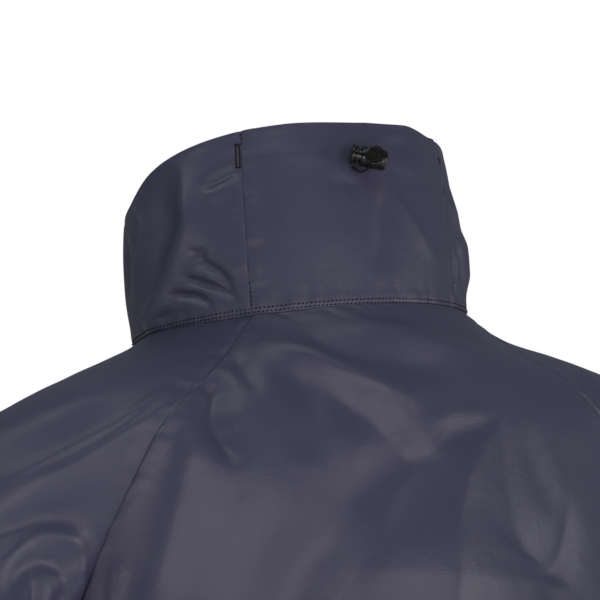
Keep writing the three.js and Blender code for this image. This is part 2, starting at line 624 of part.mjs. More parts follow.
// The cord's route, along the barrel, up and out: out of the collar above the barrel, down
// through its tunnel, round the slack loop and back into the collar.
const cordRoute = [
  [0.9, 5.3, -0.7], [0.9, 6, 1.4], [0.9, 6.5, 3.6], [0.9, 6.5, 5.9], [0.9, 5.6, 7.7],
  [0.9, 3.8, 8.5], [0.9, 1.5, 8.5], [0.9, -1.5, 8.5], [0.8, -4.1, 8.4], [0.1, -6.1, 8.1],
  [-1.3, -7.3, 7.5], [-3.1, -7.5, 6.8], [-4.8, -6.9, 5.9], [-6.1, -5.8, 4.8], [-6.5, -4.9, 3.7],
];
const cordLine = new THREE.CatmullRomCurve3(cordRoute.map((place) => new THREE.Vector3(...place)));
const cordSection = new THREE.Shape().absarc(0, 0, cordRadius, 0, 2 * Math.PI);
const cordSides = { steps: 30, extrudePath: cordLine, bevelEnabled: false, curveSegments: 4 };
addPiece("lock_cord", new THREE.ExtrudeGeometry(cordSection, cordSides), elastic, lockGroup);

export default garment;
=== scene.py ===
import math

import bpy
import numpy as np
from mathutils import Matrix, Vector


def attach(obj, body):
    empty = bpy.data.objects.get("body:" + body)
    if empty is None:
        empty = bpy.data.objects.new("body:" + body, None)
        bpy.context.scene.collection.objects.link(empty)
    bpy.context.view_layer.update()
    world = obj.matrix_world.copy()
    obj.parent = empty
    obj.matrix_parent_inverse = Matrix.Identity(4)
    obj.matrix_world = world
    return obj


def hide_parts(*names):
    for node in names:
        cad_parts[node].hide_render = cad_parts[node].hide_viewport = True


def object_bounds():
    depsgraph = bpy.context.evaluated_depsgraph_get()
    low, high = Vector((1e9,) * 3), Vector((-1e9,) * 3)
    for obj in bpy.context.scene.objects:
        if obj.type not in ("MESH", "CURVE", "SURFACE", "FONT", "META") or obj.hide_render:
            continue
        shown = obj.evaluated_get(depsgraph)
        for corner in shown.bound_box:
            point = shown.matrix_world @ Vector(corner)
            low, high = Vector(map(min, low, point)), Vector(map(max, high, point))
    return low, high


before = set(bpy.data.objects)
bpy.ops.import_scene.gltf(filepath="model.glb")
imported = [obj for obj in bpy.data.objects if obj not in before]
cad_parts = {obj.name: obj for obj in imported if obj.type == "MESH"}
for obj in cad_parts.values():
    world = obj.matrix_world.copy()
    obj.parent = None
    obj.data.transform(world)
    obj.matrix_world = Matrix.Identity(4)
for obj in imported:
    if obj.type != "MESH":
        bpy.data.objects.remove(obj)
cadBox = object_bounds()
mm = 0.001
print("stage: frame loaded")


def newObject(name, data):
    made = bpy.data.objects.new(name, data)
    bpy.context.scene.collection.objects.link(made)
    return made


viewing = {
    "turn": 35.8,  # degrees round from the centre back towards the wearer's left
    "away": 2.0,
    "height": 0.017,
    "aside": 0.0005,  # how far right of the jacket's middle the camera aims
    "lens": 237.6,
}


def placeCamera():
    turn = math.radians(viewing["turn"])
    back = Vector((math.sin(turn), math.cos(turn), 0))
    right = Vector((-math.cos(turn), math.sin(turn), 0))
    data = bpy.data.cameras.new("camera")
    data.lens = viewing["lens"]
    data.sensor_width = 36
    data.clip_end = 50
    camera = newObject("camera", data)
    aim = right * viewing["aside"] + Vector((0, 0, viewing["height"]))
    camera.location = back * viewing["away"] + Vector((0, 0, viewing["height"]))
    camera.rotation_euler = (aim - camera.location).to_track_quat("-Z", "Y").to_euler()
    bpy.context.scene.camera = camera


def areaLight(name, turn, rise, away, size, power, colour, glossy=True):
    # turn is round from the camera's side, to the camera's right, and rise is above the horizon
    data = bpy.data.lights.new(name, "AREA")
    data.shape = "DISK"
    data.size = size
    data.energy = power
    data.color = colour
    light = newObject(name, data)
    light.visible_glossy = glossy
    angle = math.radians(viewing["turn"] - turn)
    flat = math.cos(math.radians(rise))
    way = Vector((math.sin(angle) * flat, math.cos(angle) * flat, math.sin(math.radians(rise))))
    light.location = way * away
    light.rotation_euler = (-way).to_track_quat("-Z", "Y").to_euler()


lighting = {
    "key": {"turn": 36, "rise": 2, "away": 2.4, "size": 1.0, "power": 8, "colour": (1.0, 0.96, 0.98)},
    "side": {"turn": 84, "rise": -5, "away": 2.4, "size": 1.3, "power": 11.5, "colour": (1.0, 0.97, 0.98)},
    "low": {"turn": 10, "rise": -12, "away": 2.4, "size": 1.0, "power": 8.5, "colour": (1.0, 0.93, 0.98)},
    "lowLeft": {"turn": -32, "rise": -10, "away": 2.4, "size": 1.0, "power": 4.5, "colour": (1.0, 0.95, 1.0)},
    "top": {"turn": 8, "rise": 64, "away": 2.4, "size": 1.6, "power": 9.5, "colour": (0.84, 1.0, 1.0)},
    "topLeft": {"turn": -62, "rise": 48, "away": 2.4, "size": 1.2, "power": 8, "colour": (0.88, 1.0, 1.0)},
    "front": {"turn": 180, "rise": 50, "away": 2.6, "size": 1.6, "power": 30, "colour": (0.92, 1.0, 1.0),
              "glossy": False},
    "around": 0.12,  # brightness of the pale room, seen white by the camera
}


def lightStudio():
    for name, made in lighting.items():
        if name != "around":
            areaLight(name, **made)
    world = bpy.data.worlds.new("pale room")
    bpy.context.scene.world = world
    world.use_nodes = True
    nodes, links = world.node_tree.nodes, world.node_tree.links
    sky = nodes["Background"]
    seen = nodes.new("ShaderNodeLightPath")
    strength = nodes.new("ShaderNodeMapRange")
    strength.inputs["To Min"].default_value = lighting["around"]
    strength.inputs["To Max"].default_value = 1.0
    links.new(seen.outputs["Is Camera Ray"], strength.inputs["Value"])
    links.new(strength.outputs["Result"], sky.inputs["Strength"])
    sky.inputs["Color"].default_value = (1, 1, 1, 1)


floorSheet = {"half": 6, "below": 0.12}  # metres, and how far below the jacket it lies


def layFloor():
    half, low = floorSheet["half"], cadBox[0][2] - floorSheet["below"]
    mesh = bpy.data.meshes.new("floor")
    mesh.from_pydata([(-half, -half, low), (half, -half, low), (half, half, low), (-half, half, low)], [],
                     [(0, 1, 2, 3)])
    floor = newObject("floor", mesh)
    return floor


placeCamera()
lightStudio()
floor = layFloor()
bpy.context.scene.view_settings.view_transform = "Standard"
bpy.context.scene.view_settings.look = "None"
print("stage: camera, floor and light")

# the jacket's cut, in millimetres: level 0 at the collar seam, 1 at the underarm, 2 at the end
zipHalf = 6.5  # from the middle to each front edge
collarFoot = {"half": 88, "deep": 78}
collarTop = {"half": 87, "back": 65.5, "front": 68, "shift": -11}
collarBow = 3  # how far it swells out half way up
collarTaper = 0.09
collarRight = {"lowered": 3.4, "from": 0.4, "to": 0.8, "back": 1.9, "soft": 0.6}  # its top edge droops here


def table(names, rows):
    return dict(zip(names.split(), np.array(rows, float).T))


centreBack = table("level y z pull", [
    [0, 78, 15, 76],
    [0.18, 91, 0, 96],
    [0.38, 103, -28, 122],
    [0.6, 115, -78, 160],
    [0.8, 122, -138, 198],
    [1, 127, -208, 250],
    [1.3, 128, -345, 295],
    [1.65, 123, -525, 305],
    [2, 122, -716, 310],
])
backSeam = table("level x y z crevice bodyPull sleevePull", [
    [0, 66, 52, 10, 0, 71, 60],
    [0.18, 89, 64, -8, 0, 88, 70],
    [0.38, 113, 73, -24, 0, 104, 82],
    [0.56, 135, 76, -42, 0.04, 122, 96],
    [0.7, 147, 72, -66, 0.14, 134, 112],
    [0.82, 159, 60, -102, 0.36, 148, 140],
    [0.92, 172, 44, -155, 0.66, 168, 200],
    [1, 184, 4, -225, 1, 208, 290],
])
overArm = table("level x y z fall pull", [
    [0, 88, 0, 0, 0.19, 57],
    [0.18, 119, 20, -9, 0.14, 72],
    [0.38, 153, 30, -20, 0.1, 88],
    [0.56, 186, 31, -33, 0.07, 104],
    [0.7, 218, 26, -50, 0.04, 122],
    [0.82, 250, 17, -80, 0.02, 150],
    [0.92, 279, 9, -128, 0, 200],
    [1, 301, 3, -190, 0, 290],
    [1.25, 326, -2, -318, 0, 268],
    [1.5, 346, -10, -430, 0, 240],
    [1.75, 359, -30, -540, 0, 212],
    [2, 368, -58, -648, 0, 184],
])
frontSeam = table("level x y z crevice bodyPull sleevePull", [
    [0, 57, -60, -11.5, 0, 66, 60],
    [0.18, 75, -72, -34, 0, 76, 74],
    [0.38, 93, -80, -60, 0, 90, 88],
    [0.56, 115, -84, -88, 0.06, 108, 100],
    [0.7, 134, -80, -114, 0.16, 124, 116],
    [0.82, 152, -67, -146, 0.38, 142, 140],
    [0.92, 170, -42, -184, 0.66, 166, 200],
    [1, 184, 4, -225, 1, 208, 290],
])
centreFront = table("level y z pull", [
    [0, -78, -15, 56],
    [0.18, -87, -38, 80],
    [0.38, -98, -72, 104],
    [0.6, -111, -118, 140],
    [0.8, -119, -168, 188],
    [1, -125, -226, 246],
    [1.3, -126, -358, 290],
    [1.65, -120, -530, 300],
    [2, -118, -702, 305],
])
sideSeam = table("level x y z pull", [
    [1, 184, 4, -225, 208],
    [1.3, 189, 3, -352, 212],
    [1.65, 191, 1, -528, 205],
    [2, 194, 1, -709, 203],
])
underArm = table("level x y z pull", [
    [1, 184, 4, -225, 290],
    [1.25, 215, 1, -338, 268],
    [1.5, 242, -9, -450, 240],
    [1.75, 264, -31, -560, 212],
    [2, 284, -61, -668, 184],
])
collarEdge = table("angle z", [
    [0, 104.5],
    [30, 103],
    [60, 94],
    [85, 80],
    [105, 63],
    [135, 50],
    [180, 44],
])


def smooth(a, b, slopeA, slopeB, f):
    g = 1 - f
    return a * g * g * (1 + 2 * f) + b * f * f * (3 - 2 * f) + slopeA * f * g * g - slopeB * f * f * g


def at(rows, place):
    # every column of a table at places along it, as a smooth curve through its rows
    first = next(iter(rows.values()))
    place = np.asarray(place, float)
    end = np.clip(np.searchsorted(first, place - 1e-9), 1, len(first) - 1)
    span = first[end] - first[end - 1]
    f = (place - first[end - 1]) / span

    def curve(column):
        slope = np.empty(len(first))
        slope[1:-1] = (column[2:] - column[:-2]) / (first[2:] - first[:-2])
        slope[0] = (column[1] - column[0]) / (first[1] - first[0])
        slope[-1] = (column[-1] - column[-2]) / (first[-1] - first[-2])
        return smooth(column[end - 1], column[end], slope[end - 1] * span, slope[end] * span, f)

    return {key: curve(column) for key, column in rows.items()}


def point(row):
    x = row.get("x", np.zeros_like(row["y"]))
    return np.stack([x, row["y"], row["z"]], -1)


def unit(v):
    return v / np.maximum(np.linalg.norm(v, axis=-1, keepdims=True), 1e-12)


def runOf(places, axis=0):
    # the distance along a line to each of its places, or over a grid along one of its axes
    steps = np.linalg.norm(np.diff(places, axis=axis), axis=-1)
    return np.concatenate([np.zeros_like(steps.take([0], axis)), np.cumsum(steps, axis=axis)], axis=axis)


def bell(x, middle, wide):
    return np.exp(-(((x - middle) / wide) ** 2))


def together(across, level):
    return np.broadcast_arrays(np.asarray(across, float), np.asarray(level, float))


def placesAt(offs, run, columns):
    # places at distances along a line whose own places lie at run
    return np.stack([np.interp(offs, run, columns[:, k]) for k in range(3)], -1)


def arc(start, end, leave, arrive, f):
    return smooth(start, end, leave, arrive, f[..., None])


def seamPull(before, after, crevice, side, length):
    across = unit(after - before)
    way = across + (np.array([0, side, 0]) - across) * crevice[..., None]
    return unit(way) * length[..., None]


def seamAt(yokeRows, lowerRows, pullName, level):
    # a seam's place, crevice and pull: the raglan seam down to the underarm, the long seam below
    upper, lower = at(yokeRows, np.minimum(level, 1)), at(lowerRows, np.maximum(level, 1))
    inYoke = level <= 1
    place = np.where(inYoke[..., None], point(upper), point(lower))
    crevice = np.where(inYoke, upper["crevice"], 1)
    return place, crevice, np.where(inYoke, upper[pullName], lower["pull"])


def zipEdge(level):
    front = at(centreFront, level)
    front["x"] = np.full_like(front["y"], zipHalf)
    return front


def backPoint(across, level):
    # -1 at the wearer's right seam, 0 at the centre back, 1 at the left seam
    across, level = together(across, level)
    back, arm = at(centreBack, level), at(overArm, level)
    place, crevice, pull = seamAt(backSeam, sideSeam, "bodyPull", level)
    leave = np.stack([back["pull"], 0 * across, 0 * across], -1)
    arrive = seamPull(point(back), point(arm), crevice, -1, pull)
    made = arc(point(back), place, leave, arrive, np.abs(across))
    made[..., 0] *= np.where(across < 0, -1, 1)
    return made


def frontPoint(across, level):
    # 0 at the seam, 1 at the zip
    across, level = together(across, level)
    arm, front = at(overArm, level), zipEdge(level)
    place, crevice, pull = seamAt(frontSeam, sideSeam, "bodyPull", level)
    leave = seamPull(point(arm), point(front), crevice, -1, pull)
    arrive = np.stack([-front["pull"], 0 * across, 0 * across], -1)
    return arc(place, point(front), leave, arrive, across)


def sleevePoint(across, level):
    # 0 at the back seam, a half over the arm, 1 at the front seam
    across, level = together(across, level)
    back, arm, front = at(centreBack, level), at(overArm, level), zipEdge(level)
    rear, rearCrevice, rearPull = seamAt(backSeam, underArm, "sleevePull", level)
    fore, foreCrevice, forePull = seamAt(frontSeam, underArm, "sleevePull", level)
    top = unit(np.stack([0 * across, -1 + 0 * across, -arm["fall"]], -1)) * arm["pull"][..., None]
    leave = seamPull(point(back), point(arm), rearCrevice, 1, rearPull)
    arrive = seamPull(point(arm), point(front), foreCrevice, 1, forePull)
    behind = arc(rear, point(arm), leave, top, np.clip(across * 2, 0, 1))
    before = arc(point(arm), fore, top, arrive, np.clip(across * 2 - 1, 0, 1))
    return np.where((across < 0.5)[..., None], behind, before)


def collarPoint(foot, height):
    footAngle = np.arctan2(foot[..., 0] / collarFoot["half"], foot[..., 1] / collarFoot["deep"])
    angle = footAngle - collarTaper * np.sin(footAngle)
    depth = np.where(np.cos(angle) > 0, collarTop["back"], collarTop["front"])
    x = collarTop["half"] * np.sin(angle)
    atZip = (np.abs(np.abs(foot[..., 0]) - zipHalf) < 0.3) & (foot[..., 1] < 0)
    x = np.where(atZip, foot[..., 0], x)
    z = at(collarEdge, np.abs(np.degrees(angle)))["z"]
    crown = np.stack([x, collarTop["shift"] + depth * np.cos(angle), z], -1)
    out = np.stack([np.sin(angle), np.cos(angle), 0 * angle], -1)
    height = np.asarray(height, float)[..., None]
    return foot + (crown - foot) * height + out * collarBow * 4 * height * (1 - height)


def collarFootAt(turn):
    # -1 to 1 over the back panel, then on to 2 over the left sleeve and 3 over the left front
    left = np.abs(turn)
    foot = backPoint(np.clip(left, 0, 1), 0 * left)
    foot = np.where((left > 1)[..., None], sleevePoint(np.clip(left - 1, 0, 1), 0 * left), foot)
    foot = np.where((left > 2)[..., None], frontPoint(np.clip(left - 2, 0, 1), 0 * left), foot)
    foot[..., 0] *= np.where(turn < 0, -1, 1)
    return foot


def smoothStep(x):
    x = np.clip(x, 0, 1)
    return x * x * (3 - 2 * x)


def collarPlace(turn, height):
    turn, height = together(turn, height)
    made = collarPoint(collarFootAt(turn), height)
    right = collarRight
    drop = smoothStep((-turn - right["from"]) / (right["to"] - right["from"]))
    drop = drop * smoothStep((turn + right["back"]) / right["soft"])
    made[..., 2] -= right["lowered"] * drop * height**2
    return made


def mirrored(placeAt):
    def other(across, level):
        return placeAt(across, level) * np.array([-1, 1, 1])

    return other


surfaces = {
    "back": backPoint,
    "sleeveLeft": sleevePoint,
    "sleeveRight": mirrored(sleevePoint),
    "frontLeft": frontPoint,
    "frontRight": mirrored(frontPoint),
    "collar": collarPlace,
}
sides = {"back": 1, "sleeveLeft": 1, "sleeveRight": -1, "frontLeft": 1, "frontRight": -1, "collar": -1}
spans = {"back": (-1, 1), "collar": (-3, 3)}  # across, where it isn't from 0 to 1
reaches = {"collar": (0, 1)}  # level, where it isn't from 0 to 2


def outAt(on, across, level):
    # the way out of the cloth, from two short steps over it
    step = 0.004
    low, high = spans.get(on, (0, 1))
    top, end = reaches.get(on, (0, 2))
    placeAt = surfaces[on]
    over = placeAt(np.minimum(across + step, high), level) - placeAt(np.maximum(across - step, low), level)
    down = placeAt(across, np.minimum(level + step, end)) - placeAt(across, np.maximum(level - step, top))
    return unit(np.cross(over, down)) * sides[on]


def newGroup(name, inputs, outputs):
    group = bpy.data.node_groups.new(name, "ShaderNodeTree")
    for socket, value in inputs.items():
        made = group.interface.new_socket(name=socket, in_out="INPUT", socket_type="NodeSocketFloat")
        made.default_value = value
    for socket in outputs:
        group.interface.new_socket(name=socket, in_out="OUTPUT", socket_type="NodeSocketFloat")
    return group, group.nodes.new("NodeGroupInput"), group.nodes.new("NodeGroupOutput")


def addNode(tree, kind, inputs=(), **settings):
    # inputs are values or another node's sockets, by name or place
    node = tree.nodes.new(kind)
    for key, value in settings.items():
        setattr(node, key, value)
    for key, value in dict(inputs).items():
        if isinstance(value, bpy.types.NodeSocket):
            tree.links.new(value, node.inputs[key])
        else:
            node.inputs[key].default_value = value
    return node


def maths(tree, operation, *values):
    return addNode(tree, "ShaderNodeMath", dict(enumerate(values)), operation=operation).outputs[0]


def noise(tree, where, scale, detail, distortion=0.0):
    inputs = {"Vector": where, "Scale": scale, "Detail": detail, "Distortion": distortion}
    return addNode(tree, "ShaderNodeTexNoise", inputs).outputs["Fac"]


def mixColour(tree, share, a, b):
    return addNode(tree, "ShaderNodeMix", {0: share, 6: a, 7: b}, data_type="RGBA").outputs[2]


def coordinates(tree, kind):
    return addNode(tree, "ShaderNodeTexCoord").outputs[kind]


def ripstopGroup():
    # a square grid of thicker threads over a plain weave
    sizes = {"Cell": 0.0018, "Line": 0.16, "Thread": 0.00025}
    group, start, end = newGroup("ripstop weave", sizes, ["Grid", "Height"])
    parts = addNode(group, "ShaderNodeSeparateXYZ", {0: coordinates(group, "UV")})
    low = maths(group, "SUBTRACT", 0.5, start.outputs["Line"])
    lines, weave = [], []
    for way in (0, 1):
        cells = maths(group, "DIVIDE", parts.outputs[way], start.outputs["Cell"])
        wave = maths(group, "PINGPONG", cells, 0.5)
        line = addNode(group, "ShaderNodeMapRange", {"Value": wave, "From Min": low, "From Max": 0.5})
        line.interpolation_type = "SMOOTHSTEP"
        lines.append(line.outputs["Result"])
        turns = maths(group, "DIVIDE", parts.outputs[way], start.outputs["Thread"])
        weave.append(maths(group, "SINE", maths(group, "MULTIPLY", turns, 2 * math.pi)))
    grid = maths(group, "MAXIMUM", lines[0], lines[1])
    plain = maths(group, "MULTIPLY", weave[0], weave[1])
    height = maths(group, "MULTIPLY_ADD", plain, 0.12, grid)
    group.links.new(grid, end.inputs["Grid"])
    group.links.new(height, end.inputs["Height"])
    return group


def crinkleGroup():
    # the small crinkles and the faint clouding of a thin coated cloth
    group, start, end = newGroup("cloth crinkle", {"Scale": 60.0}, ["Height", "Cloud"])
    where = coordinates(group, "Object")
    scale = start.outputs["Scale"]
    broad = noise(group, where, scale, 3.0, 0.6)
    fine = noise(group, where, maths(group, "MULTIPLY", scale, 3.3), 2.0, 1.0)
    ridge = maths(group, "ABSOLUTE", maths(group, "SUBTRACT", fine, 0.5))
    group.links.new(maths(group, "MULTIPLY_ADD", ridge, 0.35, broad), end.inputs["Height"])
    group.links.new(noise(group, where, 14.0, 4.0), end.inputs["Cloud"])
    return group


def wornGroup():
    # fine grain and faint rubbing, as a mask, for moulded and enamelled pieces
    group, start, end = newGroup("fine grain", {"Scale": 900.0}, ["Grain", "Rub"])
    where = coordinates(group, "Object")
    rub = noise(group, where, 220.0, 5.0)
    rubbed = addNode(group, "ShaderNodeMapRange", {"Value": rub, "From Min": 0.5, "From Max": 0.72})
    group.links.new(noise(group, where, start.outputs["Scale"], 2.0), end.inputs["Grain"])
    group.links.new(rubbed.outputs["Result"], end.inputs["Rub"])
    return group


groups = {"ripstop": ripstopGroup(), "crinkle": crinkleGroup(), "grain": wornGroup()}


def newMaterial(name, constants):
    # constants stay on the shader's own sockets
    material = bpy.data.materials.new(name)
    material.use_nodes = True
    shader = material.node_tree.nodes["Principled BSDF"]
    for socket, value in constants.items():
        shader.inputs[socket].default_value = value
    return material, material.node_tree, shader


def placeGroup(tree, group, **values):
    node = addNode(tree, "ShaderNodeGroup", node_tree=groups[group])
    for socket, value in values.items():
        node.inputs[socket].default_value = value
    return node


def colourAndBump(tree, shader, colour, height, distance, under=None):
    tree.links.new(colour, shader.inputs["Base Color"])
    inputs = {"Height": height, "Distance": distance}
    if under:
        inputs["Normal"] = under.outputs["Normal"]
    bump = addNode(tree, "ShaderNodeBump", inputs)
    tree.links.new(bump.outputs["Normal"], shader.inputs["Normal"])


def scaled(colour, by, lift=0.0):
    return tuple(min(1, c * by + lift) for c in colour[:3]) + (1,)


clothFinish = {
    "colour": (0.061, 0.058, 0.106, 1),
    "cloudColour": (0.055, 0.054, 0.099, 1),
    "gridColour": (0.046, 0.044, 0.080, 1),
    "gridShare": 0.28,
    "rough": 0.42,
    "sheen": 0.03,
    "sheenTint": (0.55, 0.68, 1.0, 1),
    "crinkle": 0.0004,  # heights in metres
    "weave": 0.00002,
    "crinkleScale": 62.0,
}


def shellCloth():
    made = clothFinish
    material, tree, shader = newMaterial("shell cloth", {
        "Sheen Weight": made["sheen"], "Sheen Roughness": 0.45, "Sheen Tint": made["sheenTint"],
        "Specular IOR Level": 0.5,
    })
    weave = placeGroup(tree, "ripstop")
    crinkle = placeGroup(tree, "crinkle", Scale=made["crinkleScale"])
    clouded = mixColour(tree, crinkle.outputs["Cloud"], made["colour"], made["cloudColour"])
    share = maths(tree, "MULTIPLY", weave.outputs["Grid"], made["gridShare"])
    rough = maths(tree, "MULTIPLY_ADD", crinkle.outputs["Cloud"], 0.14, made["rough"] - 0.07)
    tree.links.new(rough, shader.inputs["Roughness"])
    soft = addNode(tree, "ShaderNodeBump", {"Height": crinkle.outputs["Height"], "Distance": made["crinkle"]})
    colour = mixColour(tree, share, clouded, made["gridColour"])
    colourAndBump(tree, shader, colour, weave.outputs["Height"], made["weave"], soft)
    return material


def threadFinish(name, colour):
    material, tree, shader = newMaterial(name, {"Roughness": 0.6, "Specular IOR Level": 0.25})
    twist = noise(tree, coordinates(tree, "Object"), 2600.0, 2.0)
    colourAndBump(tree, shader, mixColour(tree, twist, scaled(colour, 0.6), colour), twist, 0.00008)
    return material


def ribbedFinish(name, colour, across, along, rough=0.75, depth=0.0001):
    # a woven tape or braid: ribs one way, finer crossings the other, in UV metres
    material, tree, shader = newMaterial(name, {"Roughness": rough, "Specular IOR Level": 0.25})
    parts = addNode(tree, "ShaderNodeSeparateXYZ", {0: coordinates(tree, "UV")})
    ribs, crossings = (
        maths(tree, "SINE", maths(tree, "MULTIPLY", parts.outputs[way], 2 * math.pi / size))
        for way, size in ((0, across), (1, along))
    )
    height = maths(tree, "MULTIPLY_ADD", maths(tree, "MULTIPLY", ribs, crossings), 0.5, 0.5)
    # the raised threads are painted lighter than the hollows between them, a painted highlight on the weave's
    # crests
    colourAndBump(tree, shader, mixColour(tree, height, colour, scaled(colour, 1.7, 0.01)), height, depth)
    return material


def mouldedFinish(name, colour, rough, metal=0.0, coat=0.0, rubColour=None):
    constants = {"Metallic": metal, "Coat Weight": coat, "Coat Roughness": 0.1}
    material, tree, shader = newMaterial(name, constants)
    grain = placeGroup(tree, "grain", Scale=1400.0)
    rub = grain.outputs["Rub"]
    tree.links.new(maths(tree, "MULTIPLY_ADD", rub, 0.12, rough), shader.inputs["Roughness"])
    rubbed = rubColour or scaled(colour, 1.8, 0.01)
    share = maths(tree, "MULTIPLY", rub, 0.25)
    colourAndBump(tree, shader, mixColour(tree, share, colour, rubbed), grain.outputs["Grain"], 0.00001)
    return material


def floorFinish():
    material, tree, shader = newMaterial("pale floor", {"Roughness": 0.8})
    cloud = noise(tree, coordinates(tree, "Object"), 3.0, 3.0)
    colour = mixColour(tree, cloud, (0.86, 0.86, 0.87, 1), (0.9, 0.9, 0.9, 1))
    tree.links.new(colour, shader.inputs["Base Color"])
    return material


finishes = {
    "cloth": shellCloth(),
    "thread": threadFinish("seam thread", (0.008, 0.008, 0.014, 1)),
    "buttonhole": threadFinish("buttonhole thread", (0.014, 0.006, 0.009, 1)),
    "tape": ribbedFinish("zip tape weave", (0.012, 0.012, 0.018, 1), 0.0008, 0.0011),
    "coil": mouldedFinish("zip coil nylon", (0.012, 0.012, 0.016, 1), 0.4),
    "metal": mouldedFinish("enamelled metal", (0.02, 0.02, 0.024, 1), 0.32, metal=0.6, coat=0.4,
                           rubColour=(0.2, 0.2, 0.21, 1)),
    "plastic": mouldedFinish("gloss black plastic", (0.008, 0.007, 0.006, 1), 0.14),
    "cord": ribbedFinish("braided elastic", (0.010, 0.010, 0.014, 1), 0.0007, 0.0009, 0.7, 0.00012),
}
floor.data.materials.append(floorFinish())
zipMetal = ("zip_slider", "zip_pull", "zip_box")
for node in zipMetal + ("lock_barrel", "lock_plunger"):
    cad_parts[node].material_slots[0].material = finishes["metal" if node in zipMetal else "plastic"]
print("stage: finishes")


def fitPiece(piece, replaces=None, body="jacket"):
    # the CAD piece that it stands for, and the body that it moves with
    if replaces:
        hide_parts(replaces)
    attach(piece, body)


# the cord lock's place on the collar, and its cord in the lock's own axes
lock = {"across": 0.055, "height": 0.775, "turn": -22, "tilt": -20, "out": 8.4}
lockCord = {"radius": 0.6, "places": 57, "route": [
    (0.9, 5.3, -0.7), (0.9, 6, 1.4), (0.9, 6.5, 3.6), (0.9, 6.5, 5.9), (0.9, 5.6, 7.7),
    (0.9, 3.8, 8.5), (0.9, 1.5, 8.5), (0.9, -1.5, 8.5), (0.8, -4.1, 8.4), (0.1, -6.1, 8.1),
    (-1.3, -7.3, 7.5), (-3.1, -7.5, 6.8), (-4.8, -6.9, 5.9), (-6.1, -5.8, 4.8), (-6.5, -4.9, 3.7),
]}


def curveThrough(points, count):
    points = np.array(points, float)
    points = np.vstack([2 * points[0] - points[1], points, 2 * points[-1] - points[-2]])
    place = np.linspace(0, len(points) - 3, count)
    i = np.minimum(place.astype(int), len(points) - 4)
    f = (place - i)[:, None]
    a, b, c, d = (points[i + k] for k in range(4))
    return b + 0.5 * f * (c - a + f * (2 * a - 5 * b + 4 * c - d + f * (3 * (b - c) + d - a)))


def lockFrame():
    # its own axes: along the barrel, up, and out of the collar
    foot = backPoint(lock["across"], 0.0)
    place = collarPoint(foot, lock["height"])
    up = unit(collarPoint(foot, lock["height"] + 0.05) - place)
    aside = unit(collarPoint(backPoint(lock["across"] + 0.05, 0.0), lock["height"]) - place)
    out = -np.cross(aside, up)
    side = unit(np.cross(up, out))
    rightUp = unit(np.cross(out, side))
    turned = Matrix([side, rightUp, out]).transposed().to_4x4()
    turned = turned @ Matrix.Rotation(math.radians(lock["turn"]), 4, "Y")
    turned = turned @ Matrix.Rotation(math.radians(lock["tilt"]), 4, "Z")
    return Matrix.Translation(Vector(place)) @ turned


def cordPiece():
    turned = lockFrame()
    route = [turned @ Vector(place) for place in lockCord["route"]]
    line = curveThrough(route, lockCord["places"])
    data = bpy.data.curves.new("lock cord", "CURVE")
    data.dimensions = "3D"
    spline = data.splines.new("POLY")
    spline.points.add(len(line) - 1)
    for here, place in zip(spline.points, line):
        here.co = (*(place * mm), 1)
    data.bevel_depth = lockCord["radius"] * mm
    data.bevel_resolution = 4
    data.use_fill_caps = True
    data.materials.append(finishes["cord"])
    piece = newObject("lock_cord_braid", data)
    length = float(runOf(line)[-1]) * mm
    fitPiece(piece, "lock_cord")
    print("stage: lock cord", round(length * 1000, 2), "mm")


cordPiece()


foldShape = {"samples": 48, "reach": 3.2, "tentRound": 0.0036, "footRound": 0.01,
             "crispFall": 1.5, "crispEnd": 2.2}


def fold(through, wide, high, steep=1.0, crisp=0.0, ends=(0.35, 0.35), facet=False):
    # a ridge, or a trough where high is below zero, along a line over the cloth. steep narrows its
    # left side, crisp sharpens its crest, ends are the shares of the line over which it dies out,
    # and facet makes it a cone from its first point, with straight flanks
    return dict(through=through, wide=wide, high=high, steep=steep, crisp=crisp, ends=ends, facet=facet)


def foldLine(made):
    path = curveThrough(made["through"], foldShape["samples"])
    low, high = spans.get(made["on"], (0, 1))
    top, end = reaches.get(made["on"], (0, 2))
    across, level = np.clip(path[:, 0], low, high), np.clip(path[:, 1], top, end)
    places = surfaces[made["on"]](across, level)
    tangents = unit(np.gradient(places, axis=0))
    return places, tangents, outAt(made["on"], across, level)


def foldLift(places, outs, folds):
    # how far the folds raise each place along its way out
    total = np.zeros(len(places))
    for made in folds:
        line, tangents, lineOuts = foldLine(made)
        reach = foldShape["reach"] * made["wide"] * max(1, made["steep"])
        near = np.all((places > line.min(0) - reach) & (places < line.max(0) + reach), axis=1)
        if not near.any():
            continue
        here = places[near]
        closest = np.argmin(((here[:, None] - line[None]) ** 2).sum(-1), axis=1)
        away = here - line[closest]
        along = (away * tangents[closest]).sum(-1)
        apart = np.sqrt(np.maximum((away**2).sum(-1) - along**2, 0))
        left = (away * np.cross(tangents[closest], lineOuts[closest])).sum(-1) > 0
        lengths = runOf(line)
        share = (lengths[closest] + along) / lengths[-1]
        x = apart / (made["wide"] * np.where(left, made["steep"], 1))
        rise = smoothStep(share / made["ends"][0])
        if made["facet"]:
            rise = np.clip(share / made["ends"][0], 0.02, 1)
            x = x / rise
            tent = 1 - np.sqrt(x * x + foldShape["tentRound"])
            fall = 0.5 * (tent + np.sqrt(tent * tent + foldShape["footRound"]))
        elif made["crisp"]:
            soft = 1 - made["crisp"]
            fall = np.exp(-foldShape["crispFall"] * (np.sqrt(x * x + soft * soft) - soft))
            fall = fall * bell(x, 0, foldShape["crispEnd"])
        else:
            fall = np.exp(-x * x)
        fade = rise * smoothStep((1 - share) / made["ends"][1])
        facing = smoothStep((outs[near] * lineOuts[closest]).sum(-1) / 0.5)
        total[near] += made["high"] * fall * fade * facing
    return total


